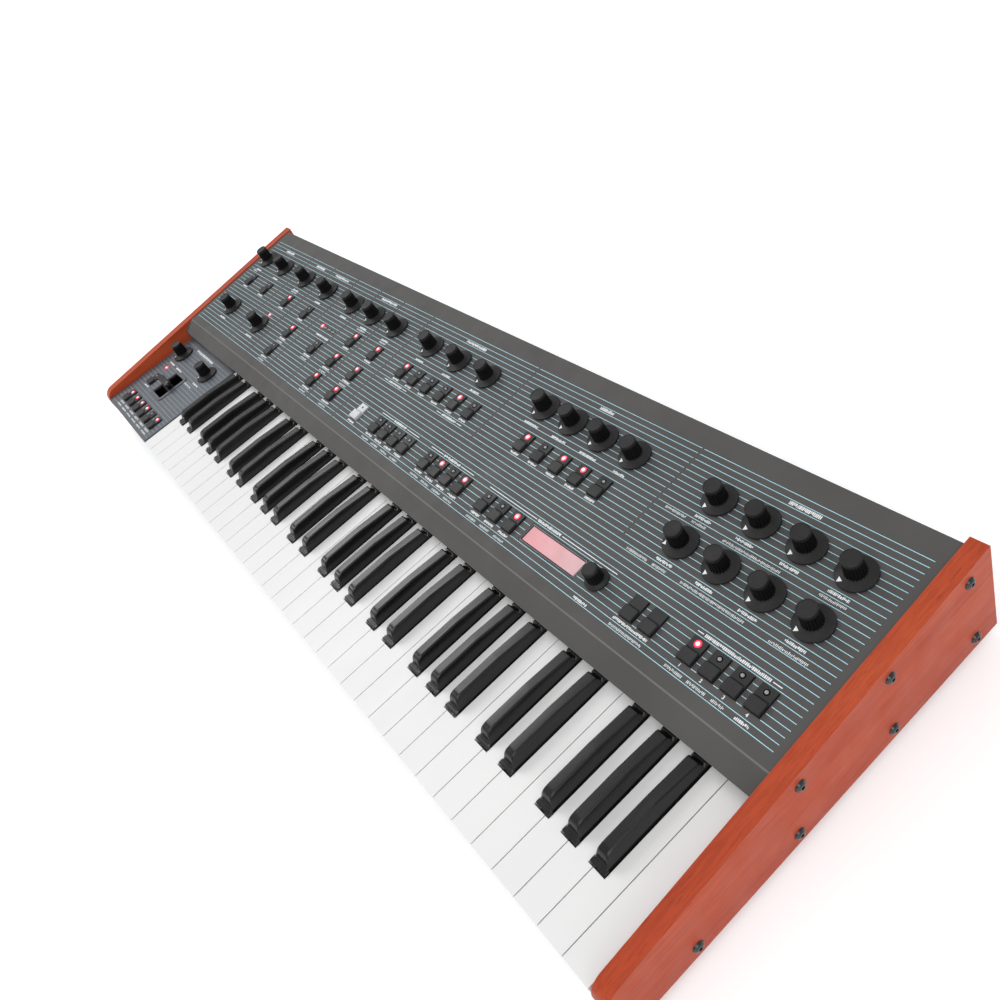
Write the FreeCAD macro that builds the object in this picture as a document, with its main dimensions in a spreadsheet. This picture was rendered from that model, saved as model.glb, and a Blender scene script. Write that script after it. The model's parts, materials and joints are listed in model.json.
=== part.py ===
"""A 61-key synthesizer: wooden cheeks, a sloping striped control panel, a lever block and a sprung keybed.

The frame has +X along the keys to the right, +Y to the back and +Z up. Its origin is on the ground,
at the middle of the instrument. Every length is in millimetres and every angle in degrees.
"""
import FreeCAD, Part
import Sketcher
import os
import re
from FreeCAD import Rotation, Vector

DIMENSIONS = {
    # case
    "interior_width": 1012, "cheek_thickness": 13, "cheek_depth": 333, "cheek_bottom": 12, "cheek_rise": 1.2,
    "cheek_nose": 14, "steel": 1.5, "case_front": -163.5, "case_back": 156, "case_side_height": 36,
    "case_front_height": 11, "case_back_height": 72, "foot_radius": 13, "foot_taper": 1.5,
    "screw_radius": 2, "screw_head": 4.2, "screw_dome": 2.4, "screw_hole": 2.15,
    # control panel, a folded sheet
    "sheet": 1.6, "fold_back": -13.5, "fold_height": 72, "tilt": 5.5, "panel_depth": 176, "panel_gap": 0.4,
    "bezel_run": 19, "bezel_drop": 6.7, "fold_radius": 3, "fold_ahead": 2.5, "lip_drop": 12,
    "flange_drop": 16, "flange_inset": 3, "flange_length": 162,
    # lever block
    "block_width": 161.1, "block_front": -165.5, "block_depth": 135.5, "block_height": 51, "block_rise": 10.6,
    "slot_width": 30, "slot_length": 36.5, "slot_middle": 67, "slot_across": 79, "ear_gap": 2,
    "lever_drop": 24, "lever_pin": 2, "lever_bore": 2.1, "handle_width": 36, "handle_depth": 10,
    # keys
    "key_left": -343, "key_front": -165.5, "key_top": 50, "key_pitch": 23.5, "key_gap": 0.8,
    "key_length": 212, "key_body": 9, "key_lip": 16, "lip_thickness": 2.5, "pivot_run": 205, "pivot_drop": 4.5,
    "rod_radius": 1.5, "rod_bore": 1.65, "notch_start": 45.5, "notch_width": 15.2,
    "black_start": 48, "black_end": 132.5, "black_width": 13.5, "black_top_width": 9.6, "black_height": 11,
    "black_slope": 9, "black_foot_width": 14.2, "black_foot_length": 3.4, "black_foot_height": 1.6,
    "black_crease": 95, "black_fall": 4.7, "black_tail": 4.5, "black_tail_width": 12.4, "black_tail_end": 152,
    # keybed
    "bed_front": 8, "bed_back": 216, "bed_lift": 1.6, "rail_front": 20, "rail_depth": 14, "rail_height": 16.4,
    "bracket": 0.8, "bracket_depth": 26, "bracket_height": 36,
    # knobs and potentiometers
    "knob_lift": 0.8, "knob_skirt": 13.7, "knob_rim": 1.1, "knob_dish": 9, "knob_neck": 7.1, "knob_cap": 6.1,
    "knob_height": 19.2, "knob_hollow": 12.5, "encoder_skirt": 9.6, "encoder_neck": 6.6, "encoder_cap": 5.8,
    "encoder_height": 15.5,
    "shaft_radius": 3, "shaft_bore": 3.05, "shaft_top": 12, "bushing_radius": 3.5, "bushing_top": 0.4,
    "panel_bore": 3.8, "pot_size": 12, "pot_top": 4.4,
    # buttons, lamps and boards
    "button_width": 12.5, "button_length": 18.7, "button_low": 1.6, "button_high": 3.6, "button_step": 9.6,
    "button_skirt": 3.5, "stem": 4, "stem_drop": 4.7, "stem_offset": 3, "cutout_gap": 0.3,
    "lamp_radius": 1.5, "lamp_hole": 1.8, "lamp_top": 1.9, "lamp_offset": 5.4,
    "board_drop": 10.4, "board": 1.6, "board_front": 14, "board_depth": 126, "board_inset": 12, "board_stud": 6,
    "switch_size": 6, "switch_height": 4.3,
    # display
    "window_width": 68, "window_length": 17.8, "glass_drop": 1.1, "glass": 1.2, "bezel_border": 3,
    "module_height": 6, "module_board": 1.2,
    # rear sockets
    "socket_height": 38, "jack_bore": 3.25, "jack_bushing": 4.4, "jack_nut": 6.6, "nut_depth": 2.4,
    "bushing_depth": 5.5, "jack_size": 14, "jack_depth": 20, "din_radius": 8.3, "din_depth": 12,
    "inlet_width": 27, "inlet_height": 20, "inlet_depth": 18, "rocker_width": 17.6, "rocker_height": 11.6,
    "rocker_depth": 8, "rocker_frame": 2.2, "rocker_pin": 1.5,
}

# Places of the controls on their own surface: right of the middle, then back from the front edge.
ROW_FRONT, ROW_MIDDLE, ROW_BACK = 28.4, 58.7, 89.5
KNOB_ROW, TUNE_ROW, ENVELOPE_UPPER, ENVELOPE_LOWER = 126, 44, 126.5, 85.2
SOURCE_COLUMNS = (-477, -421, -353.5, -289, -218.5, -167.5, -116.5, -42, 9.5, 60.5)
FILTER_COLUMNS = (150.5, 188.7, 226.9, 265.1)
ENVELOPE_COLUMNS = (353.5, 391.5, 429.5, 467.5)
TUNE_COLUMNS = (-443, -350)
ENVELOPE_STAGES = ("attack", "decay", "sustain", "release")
FILTER_KNOBS = ("frequency", "resonance", "modulation", "track")
ENCODER_PLACE = (321.3, 29.8)
BLOCK_KNOBS = {"knob_block_left": (-475.5, 110), "knob_block_right": (-382, 110)}
DISPLAY_PLACE = (269.3, 28.8)

BACK_BUTTONS = (-468, -415, -347, -288, -163, -111,
                -48, -22.8, 2.4, 27.6, 52.8, 78, 161, 186, 211, 236, 261)
MIDDLE_BUTTONS = (-282, -212, -161, -111)
FRONT_BUTTONS = (-281, -161, -111, -50, -11, 8, 27, 46, 85, 104, 123, 142, 179, 199, 219)
VALUE_BUTTONS = (361.9, 380.7)
PRESET_BUTTONS = (417.6, 436.4, 455.2, 474.0)
BLOCK_BUTTONS = tuple(-475 + 21.9 * step for step in range(6))
BLOCK_ROW, BLOCK_EXTRA = 23.3, (-470, 60)
PANEL_LAMPS = ((-351.7, 62.3), (-236, 85.5), (-226, 85.5), (-216, 85.5), (-206, 85.5))
BLOCK_LAMP = (-476.3, 82)

OCTAVES = 5
WHITES_PER_OCTAVE = 7
BLACK_CENTRES = (20.2, 48.3, 90.0, 117.0, 144.0)

FOOT_PLACES = ((-450, -130), (450, -130), (-450, 125), (450, 125))
TOP_SCREWS, LOW_SCREWS = (158, 238, 312), (60, 146, 232, 312)
TOP_SCREW_DROP, LOW_SCREW_HEIGHT = 9.5, 9.5
JACKS = (-440, -400, -200, -160, -120, -80)
DIN_SOCKETS = (60, 95, 130)
USB_PLACE, INLET_PLACE, ROCKER_PLACE = 180, 440, 395
USB_WIDTH, USB_HEIGHT = 12, 11

# Inner boards: the middle, then length and width; then what stands on each: offsets and the three sizes.
STUD_RADIUS = 3
MAIN_BOARD = (-80, 112, 380, 70)
SUPPLY_BOARD = (400, 90, 130, 76)
MAIN_BOARD_PARTS = ((-120, 5, 24, 24, 3), (-60, 5, 24, 24, 3), (0, 5, 24, 24, 3), (60, -5, 30, 12, 8),
                    (130, 5, 40, 9, 11))
SUPPLY_BOARD_PARTS = ((-32, 0, 46, 42, 34), (20, 14, 14, 14, 22), (42, -14, 12, 30, 26))

doc = FreeCAD.newDocument("synthesizer")
sheet = doc.addObject("Spreadsheet::Sheet", "Sizes")
for row, (word, number) in enumerate(DIMENSIONS.items(), start=1):
    sheet.set(f"A{row}", word)
    sheet.set(f"B{row}", str(number))
    sheet.setAlias(f"B{row}", word)
doc.recompute()

nodes = []


# ---------------------------------------------------------------- helpers

def with_sheet(text):
    """Puts the sheet's name before each of its words, so that the text is a FreeCAD expression."""
    return re.sub(r"[a-z]+(?:_[a-z]+)*", lambda m: "Sizes." + m[0] if m[0] in DIMENSIONS else m[0], str(text))


def bind(item, prop, text):
    item.setExpression(prop, with_sheet(text))


def size(text):
    """The value of an expression now, for code that needs a number."""
    return float(sheet.evalExpression(str(text)))


def place(item, x=0, y=0, z=0, axis=(1, 0, 0), angle=0):
    """Places an item by expressions; the angle is about the given axis."""
    item.Placement = FreeCAD.Placement(Vector(0, 0, 0), Rotation(Vector(*axis), 10))
    bind(item, ".Placement.Rotation.Angle", angle)
    bind(item, ".Placement.Base.x", x)
    bind(item, ".Placement.Base.y", y)
    bind(item, ".Placement.Base.z", z)
    return item


def box(x, y, z, length, width, height):
    """A box from its low corner and its extents along X, Y and Z."""
    item = doc.addObject("Part::Box", "box")
    bind(item, "Length", length)
    bind(item, "Width", width)
    bind(item, "Height", height)
    return place(item, x, y, z)


def slab(x, y, z, length, width, height):
    """A box centred on x and y that stands on z."""
    return box(f"{x} - ({length})/2", f"{y} - ({width})/2", z, length, width, height)


def cylinder(x, y, z, radius, height, along="z"):
    """A cylinder that starts at the given point and runs up one axis."""
    item = doc.addObject("Part::Cylinder", "cylinder")
    bind(item, "Radius", radius)
    bind(item, "Height", height)
    turns = {"z": ((0, 0, 1), 0), "x": ((0, 1, 0), 90), "y": ((1, 0, 0), -90)}
    axis, angle = turns[along]
    return place(item, x, y, z, axis, angle)


def fuse(items):
    item = doc.addObject("Part::MultiFuse", "fuse")
    item.Shapes = items
    return item


def group(items):
    item = doc.addObject("Part::Compound", "group")
    item.Links = items
    return item


def cut(base, tools):
    item = doc.addObject("Part::Cut", "cut")
    item.Base = base
    item.Tool = group(tools)
    return item


def node(item, name):
    item.Label = name
    nodes.append(item)
    return item


def origin_plane(body, role):
    return next(feature for feature in body.Origin.OriginFeatures if feature.Role == role)


def sketch_on(body, role):
    sketch = body.newObject("Sketcher::SketchObject", "sketch")
    sketch.AttachmentSupport = [(origin_plane(body, role), "")]
    sketch.MapMode = "FlatFace"
    return sketch


def bind_point(sketch, edge, end, across, up):
    """Holds one point of the sketch at two signed distances from the origin."""
    for kind, text in (("DistanceX", across), ("DistanceY", up)):
        index = sketch.addConstraint(Sketcher.Constraint(kind, edge, end, size(text)))
        bind(sketch, f"Constraints[{index}]", text)


def polygon(sketch, points):
    """A closed outline whose corners are pairs of expressions."""
    corners = [Vector(size(across), size(up), 0) for across, up in points]
    for index, (across, up) in enumerate(points):
        following = corners[(index + 1) % len(corners)]
        sketch.addGeometry(Part.LineSegment(corners[index], following), False)
    for index in range(len(points)):
        sketch.addConstraint(Sketcher.Constraint("Coincident", index, 2, (index + 1) % len(points), 1))
    for index, (across, up) in enumerate(points):
        bind_point(sketch, index, 1, across, up)


def circles(sketch, centres, radius):
    for across, up in centres:
        centre = Vector(size(across), size(up), 0)
        edge = sketch.addGeometry(Part.Circle(centre, Vector(0, 0, 1), size(radius)), False)
        index = sketch.addConstraint(Sketcher.Constraint("Radius", edge, size(radius)))
        bind(sketch, f"Constraints[{index}]", radius)
        bind_point(sketch, edge, 3, across, up)


def body_of(name, draw, role):
    """A PartDesign body with its first sketch drawn on one of its own origin planes."""
    body = doc.addObject("PartDesign::Body", name)
    sketch = sketch_on(body, role)
    draw(sketch)
    return body, sketch


def pad(body, sketch, length, middle=False):
    feature = body.newObject("PartDesign::Pad", "pad")
    feature.Profile = sketch
    feature.Midplane = middle
    bind(feature, "Length", length)
    doc.recompute()
    return feature


def revolve(body, sketch):
    feature = body.newObject("PartDesign::Revolution", "revolution")
    feature.Profile = sketch
    feature.ReferenceAxis = (sketch, ["V_Axis"])
    feature.Angle = 360
    return feature


def on_panel(item):
    """Lays an item that is drawn flat onto the sloping control panel."""
    return place(item, 0, "fold_back", "fold_height", angle="tilt")


def on_block(item):
    """Lays an item that is drawn flat onto the level lever block."""
    return place(item, 0, "block_front", "block_height")


# ---------------------------------------------------------------- case

def cheek(name, left_face):
    """A wooden end cheek, with its top just above the control panel and its nose rounded."""
    behind_fold = "(cheek_depth/2 {0} fold_back)*tan(tilt)"
    base_height = "fold_height - cheek_bottom + cheek_rise"
    corners = [(0, 0), ("cheek_depth", 0),
               ("cheek_depth", f"{base_height} + {behind_fold.format('-')}"),
               (0, f"{base_height} - {behind_fold.format('+')}")]
    body, sketch = body_of(name, lambda drawing: polygon(drawing, corners), "YZ_Plane")
    board = pad(body, sketch, "cheek_thickness")
    nose = body.newObject("PartDesign::Fillet", "nose")
    nose.Base = (board, [f"Edge{number}" for number, edge in enumerate(board.Shape.Edges, start=1)
                         if abs(edge.tangentAt(edge.FirstParameter).x) > 0.99
                         and edge.CenterOfMass.y < 1 and edge.CenterOfMass.z > 1])
    bind(nose, "Radius", "cheek_nose")
    holes = sketch_on(body, "YZ_Plane")
    circles(holes, cheek_screw_places(), "screw_hole")
    pocket = body.newObject("PartDesign::Pocket", "screw_holes")
    pocket.Profile = holes
    pocket.Type = "ThroughAll"
    pocket.Reversed = True
    place(body, left_face, "0 - cheek_depth/2", "cheek_bottom")
    return node(body, name)


def cheek_screw_places():
    """Distances back from the cheek's front end and up from its bottom."""
    top = "fold_height - cheek_bottom - {0} + ({1} - cheek_depth/2 - fold_back)*tan(tilt)"
    return ([(along, top.format(TOP_SCREW_DROP, along)) for along in TOP_SCREWS]
            + [(along, LOW_SCREW_HEIGHT) for along in LOW_SCREWS])


def screw():
    """One dome-headed screw along +Z, its head above the level z = 0."""
    ball = "((screw_head^2 + screw_dome^2)/(2*screw_dome))"
    dome = doc.addObject("Part::Sphere", "dome")
    bind(dome, "Radius", ball)
    bind(dome, "Angle1", f"asin(1 - screw_dome/{ball})")
    place(dome, 0, 0, f"screw_dome - {ball}")
    reach = "(cheek_thickness + flange_inset)"
    return fuse([dome, cylinder(0, 0, f"0 - {reach}", "screw_radius", reach)])


def cheek_screws():
    """The screws through both cheeks, into the panel's flanges and the case's walls."""
    screws = []
    for along, up in cheek_screw_places():
        for side in (1, -1):
            screws.append(place(screw(), f"{side}*(interior_width/2 + cheek_thickness)",
                                f"{along} - cheek_depth/2", f"cheek_bottom + {up}", (0, 1, 0), 90 * side))
    return node(group(screws), "cheek_screws")


def side_holes(start, length, places):
    """Tools that open one side's screw holes."""
    return [cylinder(start, f"{along} - cheek_depth/2", f"cheek_bottom + {up}", "screw_hole", length, "x")
            for along, up in places]


def bottom_case():
    """The folded steel tray: floor, four walls, studs for the boards and the rear wall's cut-outs."""
    half = "(interior_width/2 - panel_gap)"
    depth = "(case_back - case_front)"
    floor = box(f"0 - {half}", "case_front", "cheek_bottom", f"2*{half}", depth, "steel")
    sides = [box(f"{side}*{half} - {max(side, 0)}*steel", "case_front", "cheek_bottom", "steel", depth,
                 "case_side_height") for side in (1, -1)]
    front = box(f"0 - {half}", "case_front", "cheek_bottom", f"2*{half}", "steel", "case_front_height")
    back = box(f"0 - {half}", "case_back - steel", "cheek_bottom", f"2*{half}", "steel", "case_back_height")
    studs = [cylinder(x, y, "cheek_bottom", STUD_RADIUS, "steel + board_stud") for x, y in stud_places()]
    low = cheek_screw_places()[len(TOP_SCREWS):]
    tools = side_holes(f"0 - {half} - 1", f"2*{half} + 2", low) + rear_cutouts()
    return node(cut(fuse([floor, front, back] + sides + studs), tools), "bottom_case")


def stud_places():
    """Four studs under each of the two inner boards."""
    return [(x + across * (length / 2 - 6), y + back * (width / 2 - 6))
            for x, y, length, width in (MAIN_BOARD, SUPPLY_BOARD) for across in (-1, 1) for back in (-1, 1)]


def rear_cutouts():
    """Openings in the rear wall for everything that plugs in."""
    start, through = "case_back - steel - 1", "steel + 2"
    tools = [cylinder(x, start, "socket_height", "jack_bushing + 0.2", through, "y") for x in JACKS]
    tools += [cylinder(x, start, "socket_height", "din_radius + 0.2", through, "y") for x in DIN_SOCKETS]
    for x, width, height in ((USB_PLACE, USB_WIDTH, USB_HEIGHT), (INLET_PLACE, "inlet_width", "inlet_height"),
                             (ROCKER_PLACE, "rocker_width + 3", "rocker_height + 3")):
        tools.append(box(f"{x} - ({width})/2 - 0.2", start, f"socket_height - ({height})/2 - 0.2",
                         f"{width} + 0.4", through, f"{height} + 0.4"))
    return tools


def rubber_feet():
    feet = []
    for x, y in FOOT_PLACES:
        foot = doc.addObject("Part::Cone", "foot")
        bind(foot, "Radius1", "foot_radius - foot_taper")
        bind(foot, "Radius2", "foot_radius")
        bind(foot, "Height", "cheek_bottom")
        feet.append(place(foot, x, y, 0))
    return node(group(feet), "rubber_feet")


# ---------------------------------------------------------------- control surfaces

def top_panel():
    """The control panel, folded from one sheet: bezel in front, lip at the back and a flange at each end."""
    outline = [("0 - bezel_run", "0 - bezel_drop"), ("0 - fold_ahead", 0), ("panel_depth", 0),
               ("panel_depth", "0 - lip_drop"),
               ("panel_depth - sheet", "0 - lip_drop"), ("panel_depth - sheet", "0 - sheet"),
               ("0.3 - fold_ahead", "0 - sheet"), ("0.6 - bezel_run", "0 - bezel_drop - sheet")]
    body, sketch = body_of("panel_blank", lambda drawing: polygon(drawing, outline), "YZ_Plane")
    blank = pad(body, sketch, "interior_width - 2*panel_gap", middle=True)
    fold = body.newObject("PartDesign::Fillet", "fold")
    fold.Base = (blank, [f"Edge{number}" for number, edge in enumerate(blank.Shape.Edges, start=1)
                         if abs(edge.tangentAt(edge.FirstParameter).x) > 0.99
                         and abs(edge.CenterOfMass.y + size("fold_ahead")) < 1 and edge.CenterOfMass.z > -0.5])
    bind(fold, "Radius", "fold_radius")
    half = "(interior_width/2 - panel_gap)"
    flanges = [box(f"{side}*{half} - {max(side, 0)}*steel", "flange_inset", "0 - flange_drop", "steel",
                   "flange_length", "flange_drop - sheet/2") for side in (1, -1)]
    panel = on_panel(cut(fuse([body] + flanges), panel_tools()))
    top = cheek_screw_places()[:len(TOP_SCREWS)]
    return node(cut(panel, side_holes(f"0 - {half} - 1", f"2*{half} + 2", top)), "top_panel")


def panel_tools():
    """Every opening in the control panel, drawn flat."""
    below, through = "0 - sheet - 1", "sheet + 2"
    tools = [cylinder(x, y, below, "panel_bore", through) for x, y in panel_knobs().values()]
    tools += [button_cutout(x, y) for row in PANEL_BUTTONS.values() for x, y in row]
    tools += [cylinder(x, y, below, "lamp_hole", through) for x, y in PANEL_LAMPS]
    return tools + [slab(*DISPLAY_PLACE, below, "window_width", "window_length", through)]


def button_cutout(x, y):
    return slab(x, y, "0 - sheet - 1", "button_width + 2*cutout_gap",
                "button_length + 2*cutout_gap", "sheet + 2")


def panel_knobs():
    """Names and places of the knobs on the sloping panel."""
    places = {f"knob_source_{number}": (x, KNOB_ROW) for number, x in enumerate(SOURCE_COLUMNS, start=1)}
    places |= {f"knob_filter_{word}": (x, KNOB_ROW) for word, x in zip(FILTER_KNOBS, FILTER_COLUMNS)}
    stages = tuple(zip(ENVELOPE_STAGES, ENVELOPE_COLUMNS))
    places |= {f"knob_filter_{word}": (x, ENVELOPE_UPPER) for word, x in stages}
    places |= {f"knob_loudness_{word}": (x, ENVELOPE_LOWER) for word, x in stages}
    places |= {f"knob_tune_{number}": (x, TUNE_ROW) for number, x in enumerate(TUNE_COLUMNS, start=1)}
    return places | {"encoder_knob": ENCODER_PLACE}


def performance_panel():
    """The level block left of the keys, with the lever's slot and the ears and pin that carry the lever."""
    left = "(0.5 - interior_width/2)"
    plate = box(left, 0, "0 - steel", "block_width", "block_depth", "steel")
    front = box(left, 0, "cheek_bottom + 0.5 - block_height", "block_width", "steel",
                "block_height - cheek_bottom - 1")
    inner = box(f"{left} + block_width - steel", 0, "0 - lip_drop", "steel", "block_depth", "lip_drop")
    back = box(left, "block_depth - steel", "0 - steel", "block_width", "steel", "block_rise + steel")
    ears = [slab(f"{left} + slot_across + {side}*(slot_width/2 + ear_gap)", "slot_middle",
                 "0 - lever_drop - 4", "steel", 10, "lever_drop + 4 - steel/2") for side in (1, -1)]
    pin = cylinder(f"{left} + slot_across - slot_width/2 - ear_gap", "slot_middle", "0 - lever_drop",
                   "lever_pin", "slot_width + 2*ear_gap", "x")
    tools = [cylinder(x, y, "0 - steel - 1", "panel_bore", "steel + 2") for x, y in BLOCK_KNOBS.values()]
    tools += [button_cutout(x, y) for x, y in BLOCK_BUTTON_PLACES]
    tools.append(cylinder(*BLOCK_LAMP, "0 - steel - 1", "lamp_hole", "steel + 2"))
    slot = slab(f"{left} + slot_across", "slot_middle", "0 - steel - 1", "slot_width", "slot_length",
                "steel + 2")
    return node(on_block(cut(fuse([plate, front, inner, back] + ears + [pin]), tools + [slot])),
                "performance_panel")


def bender_lever():
    """The fore-and-aft lever: a handle across the slot on a blade that turns on the block's pin."""
    centre = "(0.5 - interior_width/2 + slot_across)"
    hub = cylinder(f"{centre} - 4", "slot_middle", "0 - lever_drop", 5, 8, "x")
    blade = slab(centre, "slot_middle", "0 - lever_drop", 8, 6, "lever_drop + 6")
    handle = slab(centre, "slot_middle", 4.5, "handle_width", "handle_depth", 9)
    bore = cylinder(f"{centre} - 30", "slot_middle", "0 - lever_drop", "lever_bore", 60, "x")
    return node(on_block(cut(fuse([hub, blade, handle]), [bore])), "bender_lever")


def display_module():
    """The display: its circuit board, its metal frame and the glass that stands in the window."""
    x, y = DISPLAY_PLACE
    glass_top = "0 - glass_drop"
    frame_top = "(0 - glass_drop - glass)"
    glass = slab(x, y, frame_top, "window_width - 0.4", "window_length - 0.4", "glass")
    frame = slab(x, y, f"{frame_top} - module_height", "window_width + bezel_border",
                 "window_length + 2*bezel_border", "module_height")
    board = slab(x, y, f"{frame_top} - module_height - module_board", "window_width + 12", 33, "module_board")
    return node(on_panel(group([glass, frame, board])), "display_module")


# ---------------------------------------------------------------- buttons, lamps, boards and potentiometers

def button(x, y, lamp=True):
    """A push button: a low back half round its lamp, a raised front half, and a stem above its switch."""
    base = slab(x, y, "0 - button_skirt", "button_width", "button_length", "button_skirt + button_low")
    step = box(f"{x} - button_width/2", f"{y} - button_length/2", "0 - button_skirt", "button_width",
               "button_step", "button_skirt + button_high")
    stem = slab(x, f"{y} - stem_offset", "0 - stem_drop", "stem", "stem", "stem_drop")
    whole = fuse([base, step, stem])
    if not lamp:
        return whole
    return cut(whole, [cylinder(x, f"{y} + lamp_offset", "0 - stem_drop - 1", "lamp_hole", "stem_drop + 6")])


def lamp(x, y):
    return cylinder(x, y, "0 - board_drop", "lamp_radius", "board_drop + lamp_top")


def tact_switch(x, y):
    return slab(x, f"{y} - stem_offset", "0 - board_drop", "switch_size", "switch_size", "switch_height")


def button_sets():
    for name, places in PANEL_BUTTONS.items():
        node(on_panel(group([button(x, y, name != "value_buttons") for x, y in places])), name)
    node(on_block(group([button(x, y) for x, y in BLOCK_BUTTON_PLACES])), "performance_buttons")


def indicator_leds():
    lit_places = [(x, f"{y} + lamp_offset") for name, places in PANEL_BUTTONS.items()
                  for x, y in places if name != "value_buttons"]
    upper = on_panel(group([lamp(x, y) for x, y in lit_places + list(PANEL_LAMPS)]))
    lamps = [lamp(x, f"{y} + lamp_offset") for x, y in BLOCK_BUTTON_PLACES] + [lamp(*BLOCK_LAMP)]
    lower = on_block(group(lamps))
    return node(group([upper, lower]), "indicator_leds")


def control_board():
    """The boards under both surfaces, with a switch under each button."""
    width = "interior_width - 2*board_inset"
    upper_board = box(f"0 - ({width})/2", "board_front", "0 - board_drop - board", width,
                      "board_depth", "board")
    upper = [upper_board] + [tact_switch(x, y) for row in PANEL_BUTTONS.values() for x, y in row]
    lower_board = box("board_inset - interior_width/2", 8, "0 - board_drop - board",
                      "block_width - 2*board_inset",
                      34, "board")
    lower = [lower_board] + [tact_switch(x, y) for x, y in BLOCK_BUTTON_PLACES[:-1]]
    return node(group([on_panel(group(upper)), on_block(group(lower))]), "control_board")


def potentiometer(x, y):
    body = slab(x, y, "0 - board_drop", "pot_size", "pot_size", "board_drop - pot_top")
    bushing = cylinder(x, y, "0 - pot_top", "bushing_radius", "pot_top + bushing_top")
    shaft = cylinder(x, y, 0, "shaft_radius", "shaft_top")
    return fuse([body, bushing, shaft])


def potentiometers():
    upper = on_panel(group([potentiometer(x, y) for x, y in panel_knobs().values()]))
    lower = on_block(group([potentiometer(x, y) for x, y in BLOCK_KNOBS.values()]))
    return node(group([upper, lower]), "potentiometers")


def knob_outline(sketch):
    """Half of a knob's section: a bored grip that flares into a thin round skirt."""
    polygon(sketch, [("shaft_bore", "knob_lift"), ("knob_skirt - 0.3", "knob_lift"),
                     ("knob_skirt", "knob_lift + knob_rim"), ("knob_dish", "knob_lift + knob_rim + 1.1"),
                     ("knob_neck + 0.4", "knob_lift + knob_rim + 2.8"), ("knob_neck", "knob_lift + 6"),
                     ("knob_cap + 0.2", "knob_height - 1.2"), ("knob_cap - 0.6", "knob_height"),
                     (0, "knob_height"), (0, "knob_hollow"), ("shaft_bore", "knob_hollow")])


def encoder_outline(sketch):
    polygon(sketch, [("shaft_bore", "knob_lift"), ("encoder_skirt", "knob_lift"),
                     ("encoder_skirt", "knob_lift + knob_rim"),
                     ("encoder_neck + 0.6", "knob_lift + knob_rim + 2"),
                     ("encoder_neck", "knob_lift + 5"), ("encoder_cap", "encoder_height - 1"),
                     ("encoder_cap - 0.8", "encoder_height"), (0, "encoder_height"), (0, "knob_hollow"),
                     ("shaft_bore", "knob_hollow")])


def knob(name, outline, x, y, z, angle=0):
    body, sketch = body_of(name, outline, "XZ_Plane")
    revolve(body, sketch)
    return node(place(body, x, y, z, angle=angle), name)


def knobs():
    for name, (x, y) in panel_knobs().items():
        outline = encoder_outline if name == "encoder_knob" else knob_outline
        knob(name, outline, x, f"fold_back + {y}*cos(tilt)", f"fold_height + {y}*sin(tilt)", "tilt")
    for name, (x, y) in BLOCK_KNOBS.items():
        knob(name, knob_outline, x, f"block_front + {y}", "block_height")


# ---------------------------------------------------------------- keys

def pivot_bore(start, count):
    """The hole for the pivot rod through a set of keys."""
    return cylinder(f"{start} - 5", "pivot_run", "0 - pivot_drop", "rod_bore", f"{count}*key_pitch + 10", "x")


def on_keyboard(item):
    """Places an item drawn from the first key's front corner, level with the white keys' tops."""
    return place(item, "key_left", "key_front", "key_top")


def white_key(start):
    width = "key_pitch - key_gap"
    top = box(f"{start} + key_gap/2", 0, "0 - key_body", width, "key_length", "key_body")
    lip = box(f"{start} + key_gap/2", 0, "0 - key_lip", width, "lip_thickness", "key_lip")
    return fuse([top, lip])


def white_keys(octave, count):
    start = octave * WHITES_PER_OCTAVE
    keys = [white_key(f"{start + step}*key_pitch") for step in range(count)]
    notches = [slab(f"{start}*key_pitch + {centre}", "(notch_start + key_length + 1)/2", "0 - key_body - 1",
                    "notch_width", "key_length + 1 - notch_start", "key_body + 2") for centre in BLACK_CENTRES]
    tools = notches + [pivot_bore(f"{start}*key_pitch", count)]
    return node(on_keyboard(cut(group(keys), tools)), f"white_keys_{octave + 1}")


def black_key(centre):
    """A black key: a tapered top with a sloping nose and a falling rear, on a straight body with a foot."""
    top = doc.addObject("Part::Wedge", "top")
    for prop, text in (("Xmin", "0 - black_width/2"), ("Xmax", "black_width/2"),
                       ("X2min", "0 - black_top_width/2"), ("X2max", "black_top_width/2"),
                       ("Ymin", 0), ("Ymax", "black_height"),
                       ("Zmin", "0 - black_end"), ("Zmax", "0 - black_start"),
                       ("Z2min", "0 - black_end"), ("Z2max", "0 - black_start - black_slope")):
        bind(top, prop, text)
    place(top, centre, 0, 0, angle=90)
    crown = box(0, 0, 0, "black_width", 60, 8)
    place(crown, f"{centre} - black_width/2", "black_crease", "black_height", angle="0 - black_fall")
    base = slab(centre, "(black_start + key_length)/2", "0 - key_body", "black_width",
                "key_length - black_start", "key_body")
    foot = slab(centre, "black_start + black_foot_length/2 - 1.2", 0, "black_foot_width", "black_foot_length",
                "black_foot_height")
    tail = slab(centre, "(black_end - 2 + black_tail_end)/2", 0, "black_tail_width",
                "black_tail_end - black_end + 2", "black_tail")
    return fuse([cut(top, [crown]), base, foot, tail])


def black_keys(octave):
    start = f"{octave * WHITES_PER_OCTAVE}*key_pitch"
    keys = [black_key(f"{start} + {centre}") for centre in BLACK_CENTRES]
    bored = cut(group(keys), [pivot_bore(start, WHITES_PER_OCTAVE)])
    return node(on_keyboard(bored), f"black_keys_{octave + 1}")


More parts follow.
